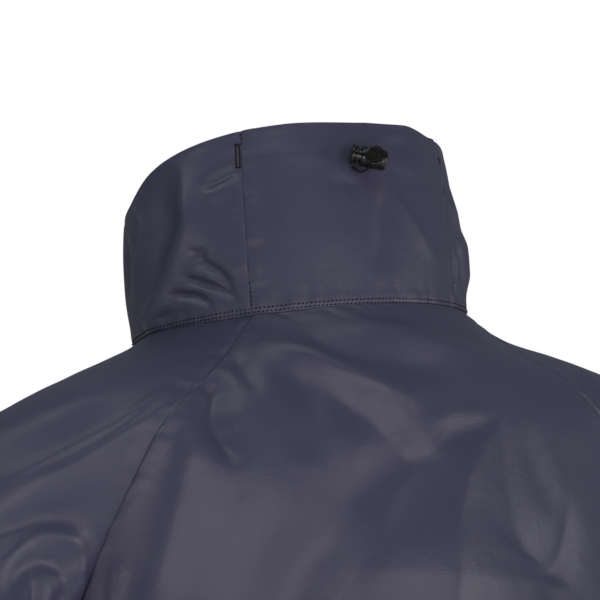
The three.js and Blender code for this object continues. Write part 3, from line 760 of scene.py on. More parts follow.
def waves(places, seed, size, high, count=14):
    # gentle unevenness: a few plane waves in seeded directions
    rng = np.random.default_rng(seed)
    total = np.zeros(len(places))
    for _ in range(count):
        way = rng.normal(size=3)
        way *= 2 * math.pi / (size * rng.uniform(0.7, 1.6) * np.linalg.norm(way))
        total += np.sin(places @ way + rng.uniform(0, 2 * math.pi))
    return high * total / math.sqrt(count)


folds = [
    ("back", [
        fold([(0.36, 0.05), (0.01, 0.1), (-0.32, 0.155), (-0.64, 0.19)], 6, -2, crisp=0.3),
        fold([(0.42, 0.07), (0.05, 0.16), (-0.26, 0.21), (-0.64, 0.24)], 7, 2.2, crisp=0.3),
        fold([(0.86, 0.05), (0.6, 0.14), (0.37, 0.23), (0.09, 0.29), (-0.3, 0.33)], 9, -2.8, crisp=0.3),
        fold([(0.95, 0.11), (0.6, 0.204), (0.39, 0.297), (0.18, 0.367), (0.0, 0.417)],
             9, 4, steep=0.8, crisp=0.4, ends=(0.4, 0.3)),
        fold([(0.83, 0.24), (0.59, 0.31), (0.4, 0.384), (0.25, 0.437), (0.11, 0.481)], 12, -4.4, crisp=0.3),
        fold([(0.97, 0.15), (0.9, 0.23), (0.8, 0.317), (0.69, 0.41)], 6, -2.2, crisp=0.4),
        fold([(0.93, 0.27), (0.9, 0.4), (0.85, 0.49), (0.77, 0.56), (0.66, 0.62)],
             10, -5.6, steep=0.6, crisp=0.4, ends=(0.3, 0.3)),
        fold([(0.64, 0.31), (0.5, 0.4), (0.47, 0.58)], 10, -2),
        fold([(0.87, 0.51), (0.84, 0.7), (0.81, 0.85), (0.8, 1.05)], 13, 2.6, steep=0.45, ends=(0.1, 0.3)),
        fold([(-0.37, 0.462), (-0.195, 0.528), (-0.075, 0.598), (-0.015, 0.674), (0.01, 0.78), (0.04, 1.05)],
             90, 13, steep=0.52, ends=(0.45, 0.3), facet=True),
        fold([(0.03, 0.46), (0.17, 0.548), (0.3, 0.624), (0.37, 0.7), (0.44, 0.78), (0.5, 0.95)],
             22, -6, crisp=0.4, ends=(0.1, 0.35)),
        fold([(0.06, 0.455), (-0.155, 0.435), (-0.38, 0.45)], 6, 1, crisp=0.4),
        fold([(-0.47, 0.49), (-0.475, 0.6), (-0.465, 0.7)], 9, -1),
        fold([(-0.58, 0.52), (-0.56, 0.6), (-0.56, 0.7)], 9, 0.7),
        fold([(-0.62, 0.68), (-0.49, 0.765), (-0.39, 0.785), (-0.3, 0.83)], 10, -2.8, steep=0.6, crisp=0.3),
        fold([(0.5, 1.12), (0.56, 1.5), (0.5, 1.97)], 30, 5),
        fold([(0.1, 1.25), (0.06, 1.6), (0.12, 1.98)], 26, -4),
        fold([(-0.42, 1.02), (-0.5, 1.45), (-0.44, 1.95)], 28, 5),
        fold([(-0.8, 1.1), (-0.76, 1.5), (-0.82, 1.97)], 22, -4),
    ]),
    ("sleeveLeft", [
        fold([(0.07, 0.36), (0.09, 0.54), (0.17, 0.67), (0.3, 0.78)], 9, 2.8, steep=0.3, ends=(0.2, 0.3)),
        fold([(0.055, 0.37), (0.075, 0.54), (0.15, 0.67), (0.26, 0.77)], 2.4, -2.6, steep=1.6, crisp=0.75),
        fold([(0.16, 0.4), (0.2, 0.56), (0.29, 0.68), (0.38, 0.77)], 8, -1.8),
        fold([(0.03, 0.62), (0.08, 0.7), (0.16, 0.75), (0.27, 0.82)], 9, 2.4),
        fold([(0.03, 0.76), (0.1, 0.79), (0.2, 0.825), (0.32, 0.87)], 8, -3.4),
        fold([(0.24, 0.88), (0.15, 0.82), (0.06, 0.815), (0.01, 0.85)], 6, 3.6, crisp=0.5),
        fold([(0.2, 0.9), (0.14, 0.85), (0.07, 0.845), (0.03, 0.87)], 5, -3, crisp=0.4),
        fold([(0.13, 0.83), (0.12, 0.87), (0.12, 0.95)], 4, -3.2, crisp=0.6),
        fold([(0.06, 0.86), (0.03, 0.84), (0.015, 0.87)], 3.4, 2.6, crisp=0.5),
        fold([(0.1, 0.9), (0.05, 0.87), (0.03, 0.93)], 3.6, -2.8, crisp=0.3),
    ]),
    ("back", [
        fold([(0.99, 0.82), (0.93, 0.83), (0.9, 0.88)], 5, 2, crisp=0.4),
        fold([(0.97, 0.86), (0.93, 0.87), (0.92, 0.92)], 4, -2),
    ]),
    ("sleeveLeft", [
        fold([(0.12, 0.9), (0.28, 0.98), (0.42, 1.05)], 15, -5),
        fold([(0.9, 0.86), (0.74, 0.96), (0.6, 1.02)], 15, -5),
        fold([(0.62, 1.34), (0.8, 1.42), (0.94, 1.4)], 14, -5),
        fold([(0.58, 1.5), (0.76, 1.53), (0.94, 1.5)], 14, -6),
        fold([(0.06, 1.3), (0.22, 1.38), (0.4, 1.36)], 16, -4),
        fold([(0.2, 1.6), (0.36, 1.72), (0.6, 1.76)], 16, -4),
        fold([(0.1, 1.9), (0.4, 1.93), (0.8, 1.89)], 11, 4),
    ]),
    ("sleeveRight", [
        fold([(0.08, 0.4), (0.1, 0.56), (0.18, 0.7), (0.3, 0.8)], 9, 2, steep=0.4),
        fold([(0.06, 0.4), (0.08, 0.56), (0.15, 0.7), (0.25, 0.79)], 2, -0.8, crisp=0.7),
        fold([(0.22, 0.88), (0.14, 0.83), (0.04, 0.83)], 8, 3, crisp=0.4),
        fold([(0.1, 0.86), (0.09, 0.9), (0.1, 0.97)], 5, -3, crisp=0.5),
        fold([(0.12, 0.88), (0.3, 0.97), (0.42, 1.03)], 16, -5),
        fold([(0.88, 0.87), (0.74, 0.97), (0.6, 1.04)], 14, -5),
        fold([(0.62, 1.36), (0.8, 1.44), (0.94, 1.41)], 15, -5),
        fold([(0.56, 1.49), (0.74, 1.54), (0.94, 1.52)], 13, -6),
        fold([(0.08, 1.31), (0.24, 1.37), (0.4, 1.34)], 15, -4),
        fold([(0.2, 1.62), (0.38, 1.71), (0.6, 1.75)], 16, -4),
        fold([(0.14, 1.91), (0.44, 1.93), (0.8, 1.9)], 11, 4),
    ]),
    ("frontLeft", [
        fold([(0.12, 0.8), (0.4, 0.97), (0.62, 1.15)], 20, -4),
        fold([(0.35, 1.1), (0.45, 1.5), (0.4, 1.95)], 28, 5),
        fold([(0.74, 1.15), (0.7, 1.6), (0.76, 1.95)], 18, -3),
        fold([(0.5, 0.25), (0.42, 0.55), (0.3, 0.75)], 18, 3),
    ]),
    ("frontRight", [
        fold([(0.1, 0.82), (0.38, 0.96), (0.64, 1.12)], 19, -4),
        fold([(0.32, 1.1), (0.42, 1.5), (0.44, 1.95)], 27, 5),
        fold([(0.76, 1.15), (0.72, 1.6), (0.72, 1.95)], 18, -3),
        fold([(0.54, 0.25), (0.42, 0.5), (0.32, 0.75)], 18, 3),
    ]),
    ("collar", [
        fold([(1.31, 0.98), (1.28, 0.76), (1.265, 0.57), (1.335, 0.43), (1.45, 0.19), (1.58, 0.02)],
             9, 4.6, steep=0.6, crisp=0.4, ends=(0.3, 0.12)),
        fold([(1.41, 1.0), (1.41, 0.77), (1.39, 0.58), (1.44, 0.42), (1.54, 0.2)], 9, -5, ends=(0.3, 0.3)),
        fold([(1.267, 0.352), (1.19, 0.32), (1.12, 0.247), (1.057, 0.127)], 2.6, -3.2, crisp=0.65),
        fold([(1.327, 0.275), (1.24, 0.235), (1.167, 0.19), (1.027, 0.083)], 2.6, -3.2, crisp=0.65),
        fold([(1.397, 0.195), (1.32, 0.18), (1.24, 0.15), (1.147, 0.082)], 2.6, -3, crisp=0.65),
        fold([(1.26, 0.38), (1.21, 0.385), (1.17, 0.36)], 2.4, -2, crisp=0.5),
        fold([(1.5, 0.06), (1.37, 0.08), (1.25, 0.07)], 2.6, -1.4, crisp=0.5),
        fold([(1.3, 0.31), (1.2, 0.26), (1.1, 0.19)], 2.4, 1.1, crisp=0.3),
        fold([(1.35, 0.23), (1.23, 0.19), (1.12, 0.12)], 2.4, 1, crisp=0.3),
        fold([(1.0, 0.8), (1.08, 0.775), (1.21, 0.74)], 3.2, -2.2, crisp=0.6),
        fold([(1.0, 0.745), (1.08, 0.71), (1.19, 0.67)], 4.5, 1.2),
        fold([(1.65, 0.95), (1.57, 0.72), (1.6, 0.48)], 4, 2.4, steep=0.5, crisp=0.5),
        fold([(1.76, 0.9), (1.72, 0.6), (1.76, 0.3)], 7, -3),
        fold([(0.42, 0.685), (0.255, 0.66), (0.1, 0.64)], 5, -0.9, crisp=0.3),
        fold([(-0.085, 0.7), (-0.255, 0.47), (-0.52, 0.2)], 4, 1.1, steep=1.6, crisp=0.4),
        fold([(-0.08, 0.7), (-0.02, 0.54), (0.03, 0.38), (0.11, 0.13)], 9, -1.3, steep=0.5, crisp=0.3),
        fold([(0.98, 0.87), (0.566, 0.825), (0.24, 0.79)], 5, 0.8, crisp=0.3),
        fold([(-0.12, 0.84), (-0.3, 0.89), (-0.45, 0.87)], 4, -0.9, crisp=0.3),
        fold([(-0.14, 0.78), (-0.34, 0.77), (-0.55, 0.7)], 5, 0.7),
        fold([(-0.94, 0.8), (-0.97, 0.69), (-0.93, 0.58)], 5, -3.4, crisp=0.3),
        fold([(-0.99, 0.52), (-1.01, 0.35), (-0.99, 0.08)], 11, 3.2),
        fold([(-0.8, 0.44), (-0.86, 0.3), (-0.84, 0.12)], 4, -1.6, crisp=0.4),
        fold([(-0.77, 0.4), (-0.8, 0.27), (-0.79, 0.12)], 2.6, 1.3, crisp=0.4),
        fold([(-1.02, 0.95), (-1.14, 0.8), (-1.16, 0.62)], 7, -2.4),
        fold([(-1.6, 0.85), (-1.7, 0.5), (-1.62, 0.2)], 8, -2.4),
        fold([(-1.36, 0.9), (-1.4, 0.6), (-1.34, 0.3), (-1.42, 0.04)], 7, 2, crisp=0.3),
        fold([(-1.2, 0.3), (-1.36, 0.2), (-1.5, 0.16)], 3, -1.6, crisp=0.5),
        fold([(-2.2, 0.9), (-2.3, 0.5), (-2.15, 0.15)], 9, 2),
        fold([(2.25, 0.88), (2.2, 0.5), (2.3, 0.12)], 9, 2),
        fold([(-2.7, 0.75), (-2.6, 0.45), (-2.75, 0.2)], 6, -1.2),
        fold([(2.7, 0.7), (2.62, 0.4), (2.72, 0.15)], 6, -1.2),
    ]),
]
allFolds = [dict(made, on=on) for on, group in folds for made in group]


# every cut of cloth is a thin closed wall, drawn in at its seams
clothShell = {
    "wall": 0.8,
    "collarWall": 1.6,
    "gap": 0.02,  # from a seam's line to each piece's edge
    "groove": 0.3,  # how deep a seam draws its edges in
    "grooveWide": 0.5,
    "allowance": 0.25,  # how much the turned-in allowance lifts the cloth beside a seam
    "pucker": 0.28,
    "past": 0.7,  # how far an edge runs on under the piece beyond its seam
    "sunk": 0.6,
    "coarse": 5.0,  # between rows below the yoke
    "wavy": 0.9,  # gentle unevenness of the body, and of the stiffer collar
    "collarWavy": 0.45,
}
hemTurn = {"wide": 24, "zipWide": 7, "sewnIn": 0.45, "pucker": 0.3, "raised": 0.25}
edgeSteps = np.array([clothShell["gap"], 0.35, 0.8, 1.4, 2.3, 3.5])


def stepsOver(length, count):
    # places over a length, or over each of many, close together beside its two ends
    length = np.asarray(length, float)[..., None]
    middle = edgeSteps[-1] + (length - 2 * edgeSteps[-1]) * np.linspace(0, 1, count)
    low = np.broadcast_to(edgeSteps[:-1], length.shape[:-1] + (len(edgeSteps) - 1,))
    return np.concatenate([low, middle, length - low[..., ::-1]], -1)


def levelsOver(on, across, span, fine, coarse=None, fineTo=1.08):
    # rows down a panel, closer together down to fineTo
    samples = np.linspace(*span, 800)
    places = surfaces[on](np.full(800, across), samples)
    run = runOf(places)
    if coarse is None:
        return np.interp(stepsOver(run[-1], max(2, round(run[-1] / fine))), run, samples)
    border = np.interp(fineTo, samples, run)
    top = np.linspace(edgeSteps[-1], border, round(border / fine))
    rest = np.linspace(border, run[-1] - edgeSteps[-1], round((run[-1] - border) / coarse))[1:]
    downs = np.concatenate([edgeSteps[:-1], top, rest, run[-1] - edgeSteps[:-1][::-1]])
    return np.interp(downs, run, samples)


def gridOver(on, span, levels, columns):
    # the panel's places in rows, with each one's distance over the cloth from the left and right edge
    low, high = (np.broadcast_to(end, len(levels))[:, None] for end in span)
    across = low + (high - low) * np.linspace(0, 1, 361)
    level = np.broadcast_to(np.asarray(levels)[:, None], across.shape)
    run = runOf(surfaces[on](across, level), 1)
    offs = stepsOver(run[:, -1], columns)
    across = np.stack([np.interp(offs[i], run[i], across[i]) for i in range(len(levels))])
    level = np.broadcast_to(np.asarray(levels)[:, None], across.shape)
    return across, level, offs, run[:, -1:] - offs


def gridOuts(places, side):
    return unit(np.cross(np.gradient(places, axis=1), np.gradient(places, axis=0))) * side


def ripple(along, seed, size):
    rng = np.random.default_rng(seed)
    total = 0
    for share in (1, 0.62, 0.41):
        total = total + np.sin(along * 2 * math.pi / (size * share) + rng.uniform(0, 6.3)) * share
    return total / 1.4


def seamLift(apart, along, seed):
    # the cloth beside a seam: drawn in at the seam, lifted over the allowance, slightly puckered
    drawn = -clothShell["groove"] * bell(apart, 0, clothShell["grooveWide"])
    lifted = clothShell["allowance"] * bell(apart, 4, 2.6)
    puckered = clothShell["pucker"] * ripple(along, seed, 17) * np.exp(-((apart - 2) ** 2) / 40)
    return drawn + lifted + puckered * smoothStep(apart / 1.5)


def hemLift(apart, wide, along, seed):
    # a turned hem: a shallow step at its stitching, with slight puckers
    stitched = -hemTurn["sewnIn"] * bell(apart, wide, 1.1)
    puckered = hemTurn["pucker"] * ripple(along, seed, 15) * bell(apart, wide, 6)
    return stitched + puckered + hemTurn["raised"] * smoothStep((wide - apart) / 1.5)


def tuckedSides(outer, uv, side, ends):
    # one more column past each seamed edge, sunk under the piece beyond the seam
    outs = gridOuts(outer, side)
    past, sunk = clothShell["past"], clothShell["sunk"]
    if ends[0]:
        edge = outer[:, :1] + unit(outer[:, :1] - outer[:, 1:2]) * past - outs[:, :1] * sunk
        outer, uv = np.concatenate([edge, outer], 1), np.concatenate([uv[:, :1] - [past, 0], uv], 1)
    if ends[1]:
        edge = outer[:, -1:] + unit(outer[:, -1:] - outer[:, -2:-1]) * past - outs[:, -1:] * sunk
        outer, uv = np.concatenate([outer, edge], 1), np.concatenate([uv, uv[:, -1:] + [past, 0]], 1)
    return outer, uv


def meshOf(name, places, faces, material, uv=None):
    mesh = bpy.data.meshes.new(name)
    mesh.from_pydata(np.asarray(places) * mm, [], faces)
    mesh.polygons.foreach_set("use_smooth", [True] * len(mesh.polygons))
    if uv is not None:
        corners = np.empty(len(mesh.loops), int)
        mesh.loops.foreach_get("vertex_index", corners)
        layer = mesh.uv_layers.new(name="cloth")
        layer.data.foreach_set("uv", (np.asarray(uv)[corners] * mm).ravel())
    mesh.materials.append(material)
    mesh.update()
    return newObject(name, mesh)


def shell(name, outer, side, wall, material, uv):
    # a thin closed wall: the outer grid, an inner one, and a rounded rim between them
    uv = uv.reshape(-1, 2)
    rows, columns = outer.shape[:2]
    inner = outer - gridOuts(outer, side) * wall
    count = rows * columns
    index = np.arange(count).reshape(rows, columns)
    a, b, c, d = index[:-1, :-1], index[1:, :-1], index[1:, 1:], index[:-1, 1:]
    quads = np.stack([a, b, c, d], -1).reshape(-1, 4)
    if side > 0:
        quads = quads[:, ::-1]
    border = np.concatenate([index[0, :-1], index[:-1, -1], index[-1, :0:-1], index[:0:-1, 0]])
    flat = outer.reshape(-1, 3)
    flatInner = inner.reshape(-1, 3)
    centre = (flat[border] + flatInner[border]) / 2
    way = np.gradient(outer, axis=1)
    down = np.gradient(outer, axis=0)
    bulge = np.zeros_like(outer)
    bulge[:, 0] -= unit(way[:, 0])
    bulge[:, -1] += unit(way[:, -1])
    bulge[0] -= unit(down[0])
    bulge[-1] += unit(down[-1])
    rim = centre + unit(bulge.reshape(-1, 3)[border]) * min(wall * 0.35, clothShell["gap"])
    ring = np.arange(len(border)) + 2 * count
    after = np.roll(border, -1)
    ringAfter = np.roll(ring, -1)
    upper = np.stack([border, ring, ringAfter, after], -1)
    lower = np.stack([ring, border + count, after + count, ringAfter], -1)
    if side < 0:
        upper, lower = upper[:, ::-1], lower[:, ::-1]
    faces = np.concatenate([quads, quads[:, ::-1] + count, upper, lower])
    places = np.concatenate([flat, flatInner, rim])
    return meshOf(name, places, faces.tolist(), material, np.concatenate([uv, uv, uv[border]]))


def flatUv(across, down):
    return np.stack([np.broadcast_to(across, down.shape), down], -1)


def clothPiece(node, outer, side, wall, uv, **whole):
    # one cut of cloth; what it measures whole and laid flat is not used
    piece = shell(node + "_cloth", outer, side, clothShell[wall], finishes["cloth"], uv)
    fitPiece(piece, node)


def liftedGrid(on, across, level, lift, wavy, calm=1):
    # the panel with its folds and its finer lift; calm is 0 where the cloth lies unfolded
    places = surfaces[on](across, level)
    outs = gridOuts(places, sides[on])
    flat, flatOuts = places.reshape(-1, 3), outs.reshape(-1, 3)
    high = foldLift(flat, flatOuts, allFolds)
    high += waves(flat, 5, 110, wavy) + waves(flat, 6, 46, wavy * 0.45) + waves(flat, 7, 22, wavy * 0.12)
    high = high.reshape(level.shape) * calm + lift
    return places + outs * high[..., None]


zipCalm = 30  # the zip holds the cloth beside it flat, this far in
laid = {}  # each panel's lifted grid and its distances from its edges, for the stitching
sleeveMade = {"middle": 0.5, "hem": 0, "flat": (0.46, 0.78), "area": 0.23}
frontMade = {"columns": 60, "fine": 2.8, "middle": 0.6, "hem": hemTurn["wide"],
             "flat": (0.25, 0.74), "area": 0.146}
panels = {
    "back": {"node": "back_panel", "columns": 132, "fine": 2.1, "middle": 0.4, "hem": hemTurn["wide"],
             "flat": (0.50, 0.74), "area": 0.322, "seed": 11},
    "sleeveLeft": {"node": "sleeve_left", "columns": 112, "fine": 2.1, "seed": 21, **sleeveMade},
    "sleeveRight": {"node": "sleeve_right", "columns": 104, "fine": 2.6, "seed": 31, **sleeveMade},
    "frontLeft": {"node": "front_left", "seed": 41, **frontMade},
    "frontRight": {"node": "front_right", "seed": 51, **frontMade},
}


def panelPiece(on):
    made, side, seed = panels[on], sides[on], panels[on]["seed"]
    toZip = on.startswith("front")
    levels = levelsOver(on, made["middle"], (0, 2), made["fine"], clothShell["coarse"])
    across, level, fromLeft, fromRight = gridOver(on, spans.get(on, (0, 1)), levels, made["columns"])
    down = runOf(surfaces[on](across, level))
    left = down[-1] - down
    lift = seamLift(fromLeft, down, seed)
    if toZip:
        lift = lift + hemLift(fromRight, hemTurn["zipWide"], down, seed + 1)
    else:
        lift = lift + seamLift(fromRight, down, seed + 1)
    lift = lift + seamLift(down, fromLeft, 3) + 0.5 * bell(down, 0, 0.9)
    if made["hem"]:
        lift = lift + hemLift(left, made["hem"], fromLeft, seed + 2)
    else:
        lift = lift + seamLift(left, fromLeft, seed + 2)
    calm = smoothStep(fromRight / zipCalm) if toZip else 1
    outer = liftedGrid(on, across, level, lift, clothShell["wavy"], calm)
    laid[made["node"]] = dict(outer=outer, side=side, left=fromLeft, right=fromRight, down=down, end=left)
    outer, uv = tuckedSides(outer, flatUv((fromLeft - fromRight) / 2, -down), side, (True, not toZip))
    clothPiece(made["node"], outer, side, "wall", uv, flat=made["flat"], held="hung", area=made["area"])


rightSeam = table("height across", [
    [0, -0.73],
    [0.5, -0.745],
    [0.76, -0.86],
    [1, -0.9],
])
collarPanels = {
    "collar_back": {"span": ("right seam", 1), "middle": 0, "seams": (True, True), "columns": 160,
                    "flat": (0.165, 0.095), "area": 0.0122, "seed": 61},
    "collar_side_left": {"span": (1, 3), "middle": 2, "seams": (True, False), "columns": 140,
                         "flat": (0.19, 0.09), "area": 0.0137, "seed": 71},
    "collar_side_right": {"span": (-3, "right seam"), "middle": -2, "seams": (False, True), "columns": 150,
                          "flat": (0.215, 0.09), "area": 0.0149, "seed": 81},
}
# up from the collar's foot: two rows of stitches, and a raised band's end, height and softness
neckSeam = {"low": 0.9, "high": 2.7, "band": 3.6, "dip": 0.3, "raised": 0.2, "soft": 1.4}
collarTuck = (3, 1.5)  # two more rows run down under the body's edge


def collarLift(fromLeft, fromRight, up, left, seed, ends):
    lift = seamLift(up, fromLeft, 3)
    lift = lift + neckSeam["raised"] * smoothStep((neckSeam["band"] - up) / neckSeam["soft"])
    for row in (neckSeam["low"], neckSeam["high"]):
        lift = lift - neckSeam["dip"] * bell(up, row, 0.45)
    lift = lift + 0.16 * ripple(fromLeft, seed + 4, 13) * bell(up, 6, 4.5)
    for apart, seamed in ((fromLeft, ends[0]), (fromRight, ends[1])):
        if seamed:
            lift = lift + seamLift(apart, up, seed + 5)
        else:
            lift = lift + hemLift(apart, hemTurn["zipWide"], up, seed + 6)
    return lift - 0.35 * bell(left, 2.2, 1.6) * (0.6 + 0.4 * ripple(fromLeft, seed, 23))


def collarPiece(node):
    made, side, ends = collarPanels[node], sides["collar"], collarPanels[node]["seams"]
    levels = levelsOver("collar", made["middle"], (0, 1), 1.1)
    span = [at(rightSeam, levels)["across"] if end == "right seam" else end for end in made["span"]]
    across, level, fromLeft, fromRight = gridOver("collar", span, levels, made["columns"])
    up = runOf(surfaces["collar"](across, level))
    lift = collarLift(fromLeft, fromRight, up, up[-1] - up, made["seed"], ends)
    toZip = np.minimum(zipCalm if ends[0] else fromLeft, zipCalm if ends[1] else fromRight)
    calm = smoothStep(toZip / zipCalm)
    outer = liftedGrid("collar", across, level, lift, clothShell["collarWavy"], calm)
    laid[node] = dict(outer=outer, side=side, left=fromLeft, right=fromRight, up=up)
    tucked = [outer[0] + [0, 0, -deep] - gridOuts(outer, side)[0] * deep * 0.45 for deep in collarTuck]
    outer = np.concatenate([np.array(tucked), outer])
    uv = flatUv((fromLeft - fromRight) / 2, up)
    uv = np.concatenate([uv[:1] - [0, deep] for deep in collarTuck] + [uv])
    outer, uv = tuckedSides(outer, uv, side, ends)
    clothPiece(node, outer, side, "collarWall", uv, flat=made["flat"], held="folded", area=made["area"])


# a narrower, gathered band on the end of each sleeve
cuff = {
    "length": 42, "narrow": 0.86, "columns": 190, "rows": 32, "seeds": {1: 91, -1: 95},
    "gather": 0.55, "gatherSize": 9, "flat": (0.212, 0.047), "area": 0.0099,
    "sewn": (8, 14, 20, 26, 32), "sewnDeep": 0.4, "sewnWide": 0.9,
    "inside": [-4, -1.5], "insideShare": [0.965, 0.975],  # two rows up inside the sleeve
}


def sleeveEnd(side):
    # the sleeve's end as a closed ring of places, its middle, and the way down the forearm
    across = np.linspace(0, 1, 57)
    ring = sleevePoint(across, 0 * across + 2)
    before = sleevePoint(across, 0 * across + 1.9)
    middle, above = ring[1:].mean(0), before[1:].mean(0)
    way = unit(middle - above)
    flip = np.array([side, 1, 1])
    return ring * flip, middle * flip, way * flip


def cuffPiece(side):
    node = "cuff_left" if side > 0 else "cuff_right"
    ring, middle, way = sleeveEnd(side)
    run = runOf(ring)
    offs = stepsOver(run[-1], cuff["columns"])
    rim = placesAt(offs, run, ring)
    fine = np.linspace(2.8, cuff["length"] - 0.6, cuff["rows"])
    down = np.concatenate([[0, 0.4, 1.0, 1.8], fine, [cuff["length"]]])
    share = np.interp(down / cuff["length"], [0, 0.12, 0.3, 1], [0.995, 0.97, cuff["narrow"], cuff["narrow"]])
    down = np.concatenate([cuff["inside"], down])
    share = np.concatenate([cuff["insideShare"], share])
    places = middle + (rim[None] - middle) * share[:, None, None]
    places = places + way * (0.3 + down)[:, None, None]
    deep = np.broadcast_to(down[:, None], places.shape[:2])
    gathered = ripple(offs, cuff["seeds"][side], cuff["gatherSize"])
    lift = cuff["gather"] * gathered * smoothStep(down / 9)[:, None]
    lift = lift + 0.5 * smoothStep((deep - (cuff["length"] - 4)) / 2)
    for row in cuff["sewn"]:
        lift = lift - cuff["sewnDeep"] * bell(deep, row, cuff["sewnWide"])
    apart = np.minimum(offs, offs[-1] - offs)[None]
    lift = lift - clothShell["groove"] * bell(apart, 0, clothShell["grooveWide"])
    outer = places + gridOuts(places, side) * lift[..., None]
    laid[node] = dict(outer=outer, side=side, left=np.broadcast_to(offs, deep.shape), down=deep)
    uv = flatUv(offs, -deep)
    clothPiece(node, outer, side, "wall", uv, flat=cuff["flat"], held="gathered", area=cuff["area"])


# a stitch's thickness along it, and how high it stands
barSize = np.array([0.25, 0.85, 1, 0.85, 0.25])
barRise = np.array([-0.5, 0.1, 0.3, 0.1, -0.5])
barSides = 6
lineStep = 0.4  # between the places of a line that stitches follow


def roundedBars(lines, outs, radius, size=barSize, rise=barRise):
    # short rounded lengths in one go: lines and outs are bars x rings x 3
    count, rings = lines.shape[:2]
    outs = unit(outs)
    way = unit(lines[:, -1] - lines[:, 0])[:, None]
    side = unit(np.cross(outs, way + 0 * outs))
    centre = lines + outs * (rise * radius)[None, :, None]
    turn = np.arange(barSides)[:, None] * 2 * math.pi / barSides
    around = side[:, :, None] * np.cos(turn) + outs[:, :, None] * np.sin(turn)
    places = centre[:, :, None] + radius * size[None, :, None, None] * around
    base = np.arange(rings * barSides).reshape(rings, barSides)
    a, b = base[:-1], base[1:]
    quads = np.stack([a, np.roll(a, -1, 1), np.roll(b, -1, 1), b], -1).reshape(-1, 4)
    starts = np.arange(count) * rings * barSides
    faces = (quads[None] + starts[:, None, None]).reshape(-1, 4).tolist()
    for first in starts.tolist():
        faces.append(list(range(first + barSides - 1, first - 1, -1)))
        faces.append(list(range(first + (rings - 1) * barSides, first + rings * barSides)))
    return places.reshape(-1, 3), faces


def stitchAlong(places, outs, length, pitch, radius):
    run = runOf(places)
    offs = np.arange(0.4, run[-1] - length, pitch)[:, None] + np.linspace(0, 1, 5) * length
    return roundedBars(placesAt(offs, run, places), placesAt(offs, run, outs), radius)


def joinLines(lines):
    places, faces, base = [], [], 0
    for made, madeFaces in lines:
        places.append(made)
        faces += [[i + base for i in face] for face in madeFaces]
        base += len(made)
    return np.concatenate(places), faces


def lineAt(made, distances, apart, start=0.0, end=None):
    # a line over a laid panel at one distance from an edge, with its ways out, cut to a stretch
    outs = gridOuts(made["outer"], made["side"])
    places, far = made["outer"], made[distances]
    if distances in ("up", "down", "end"):
        places, outs, far = places.transpose(1, 0, 2), outs.transpose(1, 0, 2), far.T
    if distances in ("right", "end"):
        places, outs, far = places[:, ::-1], outs[:, ::-1], far[:, ::-1]
    i = np.arange(len(far))
    k = np.clip([np.searchsorted(row, apart) for row in far], 1, far.shape[1] - 1)
    f = ((apart - far[i, k - 1]) / (far[i, k] - far[i, k - 1]))[:, None]
    line = places[i, k - 1] * (1 - f) + places[i, k] * f
    ways = unit(outs[i, k - 1] * (1 - f) + outs[i, k] * f)
    run = runOf(line)
    cut = np.arange(start, run[-1] if end is None else min(end, run[-1]), lineStep)
    return placesAt(cut, run, line), placesAt(cut, run, ways)


neckThread = {"length": 1.45, "pitch": 2.1, "radius": 0.36}
plainThread = {"length": 1.9, "pitch": 2.5, "radius": 0.2}
# each row of stitches: its panel, the edge that it follows, how far in, where it starts and ends
neckRows = [(node, "up", neckSeam[row], 0, None) for node in collarPanels for row in ("low", "high")]
neckRows += [
    ("collar_back", "right", 0.3, 3.6, 18), ("collar_back", "right", 0.3, 84, None),
    ("collar_back", "left", 0.3, 3.6, 17), ("collar_back", "left", 0.3, 58, 66),
]
plainRows = [
    ("front_left", "right", 7, 0, None), ("front_right", "right", 7, 0, None),
    ("back_panel", "end", 24, 0, None), ("front_left", "end", 24, 0, None),
    ("front_right", "end", 24, 0, None),
    ("collar_side_left", "right", 7, 5, None), ("collar_side_right", "left", 7, 5, None),
]
plainRows += [(node, "down", down, 0, None) for node in ("cuff_left", "cuff_right") for down in (8, 20, 32)]


def stitching():
    sewn = []
    for rows, thread in ((neckRows, neckThread), (plainRows, plainThread)):
        for node, edge, apart, start, end in rows:
            sewn.append(stitchAlong(*lineAt(laid[node], edge, apart, start, end), **thread))
    places, faces = joinLines(sewn)
    fitPiece(meshOf("seam_stitches", places, faces, finishes["thread"]))
    return len(faces)


# a worked slit along the left seam, and a short bar of satin stitch at the top of the right seam
buttonhole = {"node": "collar_side_left", "edge": "left", "from": 1.9, "start": 74, "end": 85.4,
              "slit": 0.5, "bar": 1.3, "pitch": 0.62, "thread": 0.26}
bartack = {"node": "collar_side_right", "edge": "right", "from": 0.4, "start": 77.5, "end": 81.5,
           "wide": 1.6, "pitch": 0.4, "thread": 0.19}


def satinBars(line, ways, wide, pitch, radius):
    # threads laid side by side across a line
    run = runOf(line)
    here = np.arange(0, run[-1], pitch)
    place, way = placesAt(here, run, line), unit(placesAt(here, run, ways))
    ahead = placesAt(here + 0.3, run, line) - placesAt(here - 0.3, run, line)
    across = unit(np.cross(way, ahead))[:, None]
    lines = place[:, None] + across * (np.linspace(-0.5, 0.5, 5) * wide)[None, :, None]
    return roundedBars(lines, np.broadcast_to(way[:, None], lines.shape), radius)


def satinPiece(name, bars):
    places, faces = joinLines(bars)
    fitPiece(meshOf(name, places, faces, finishes["buttonhole"]))


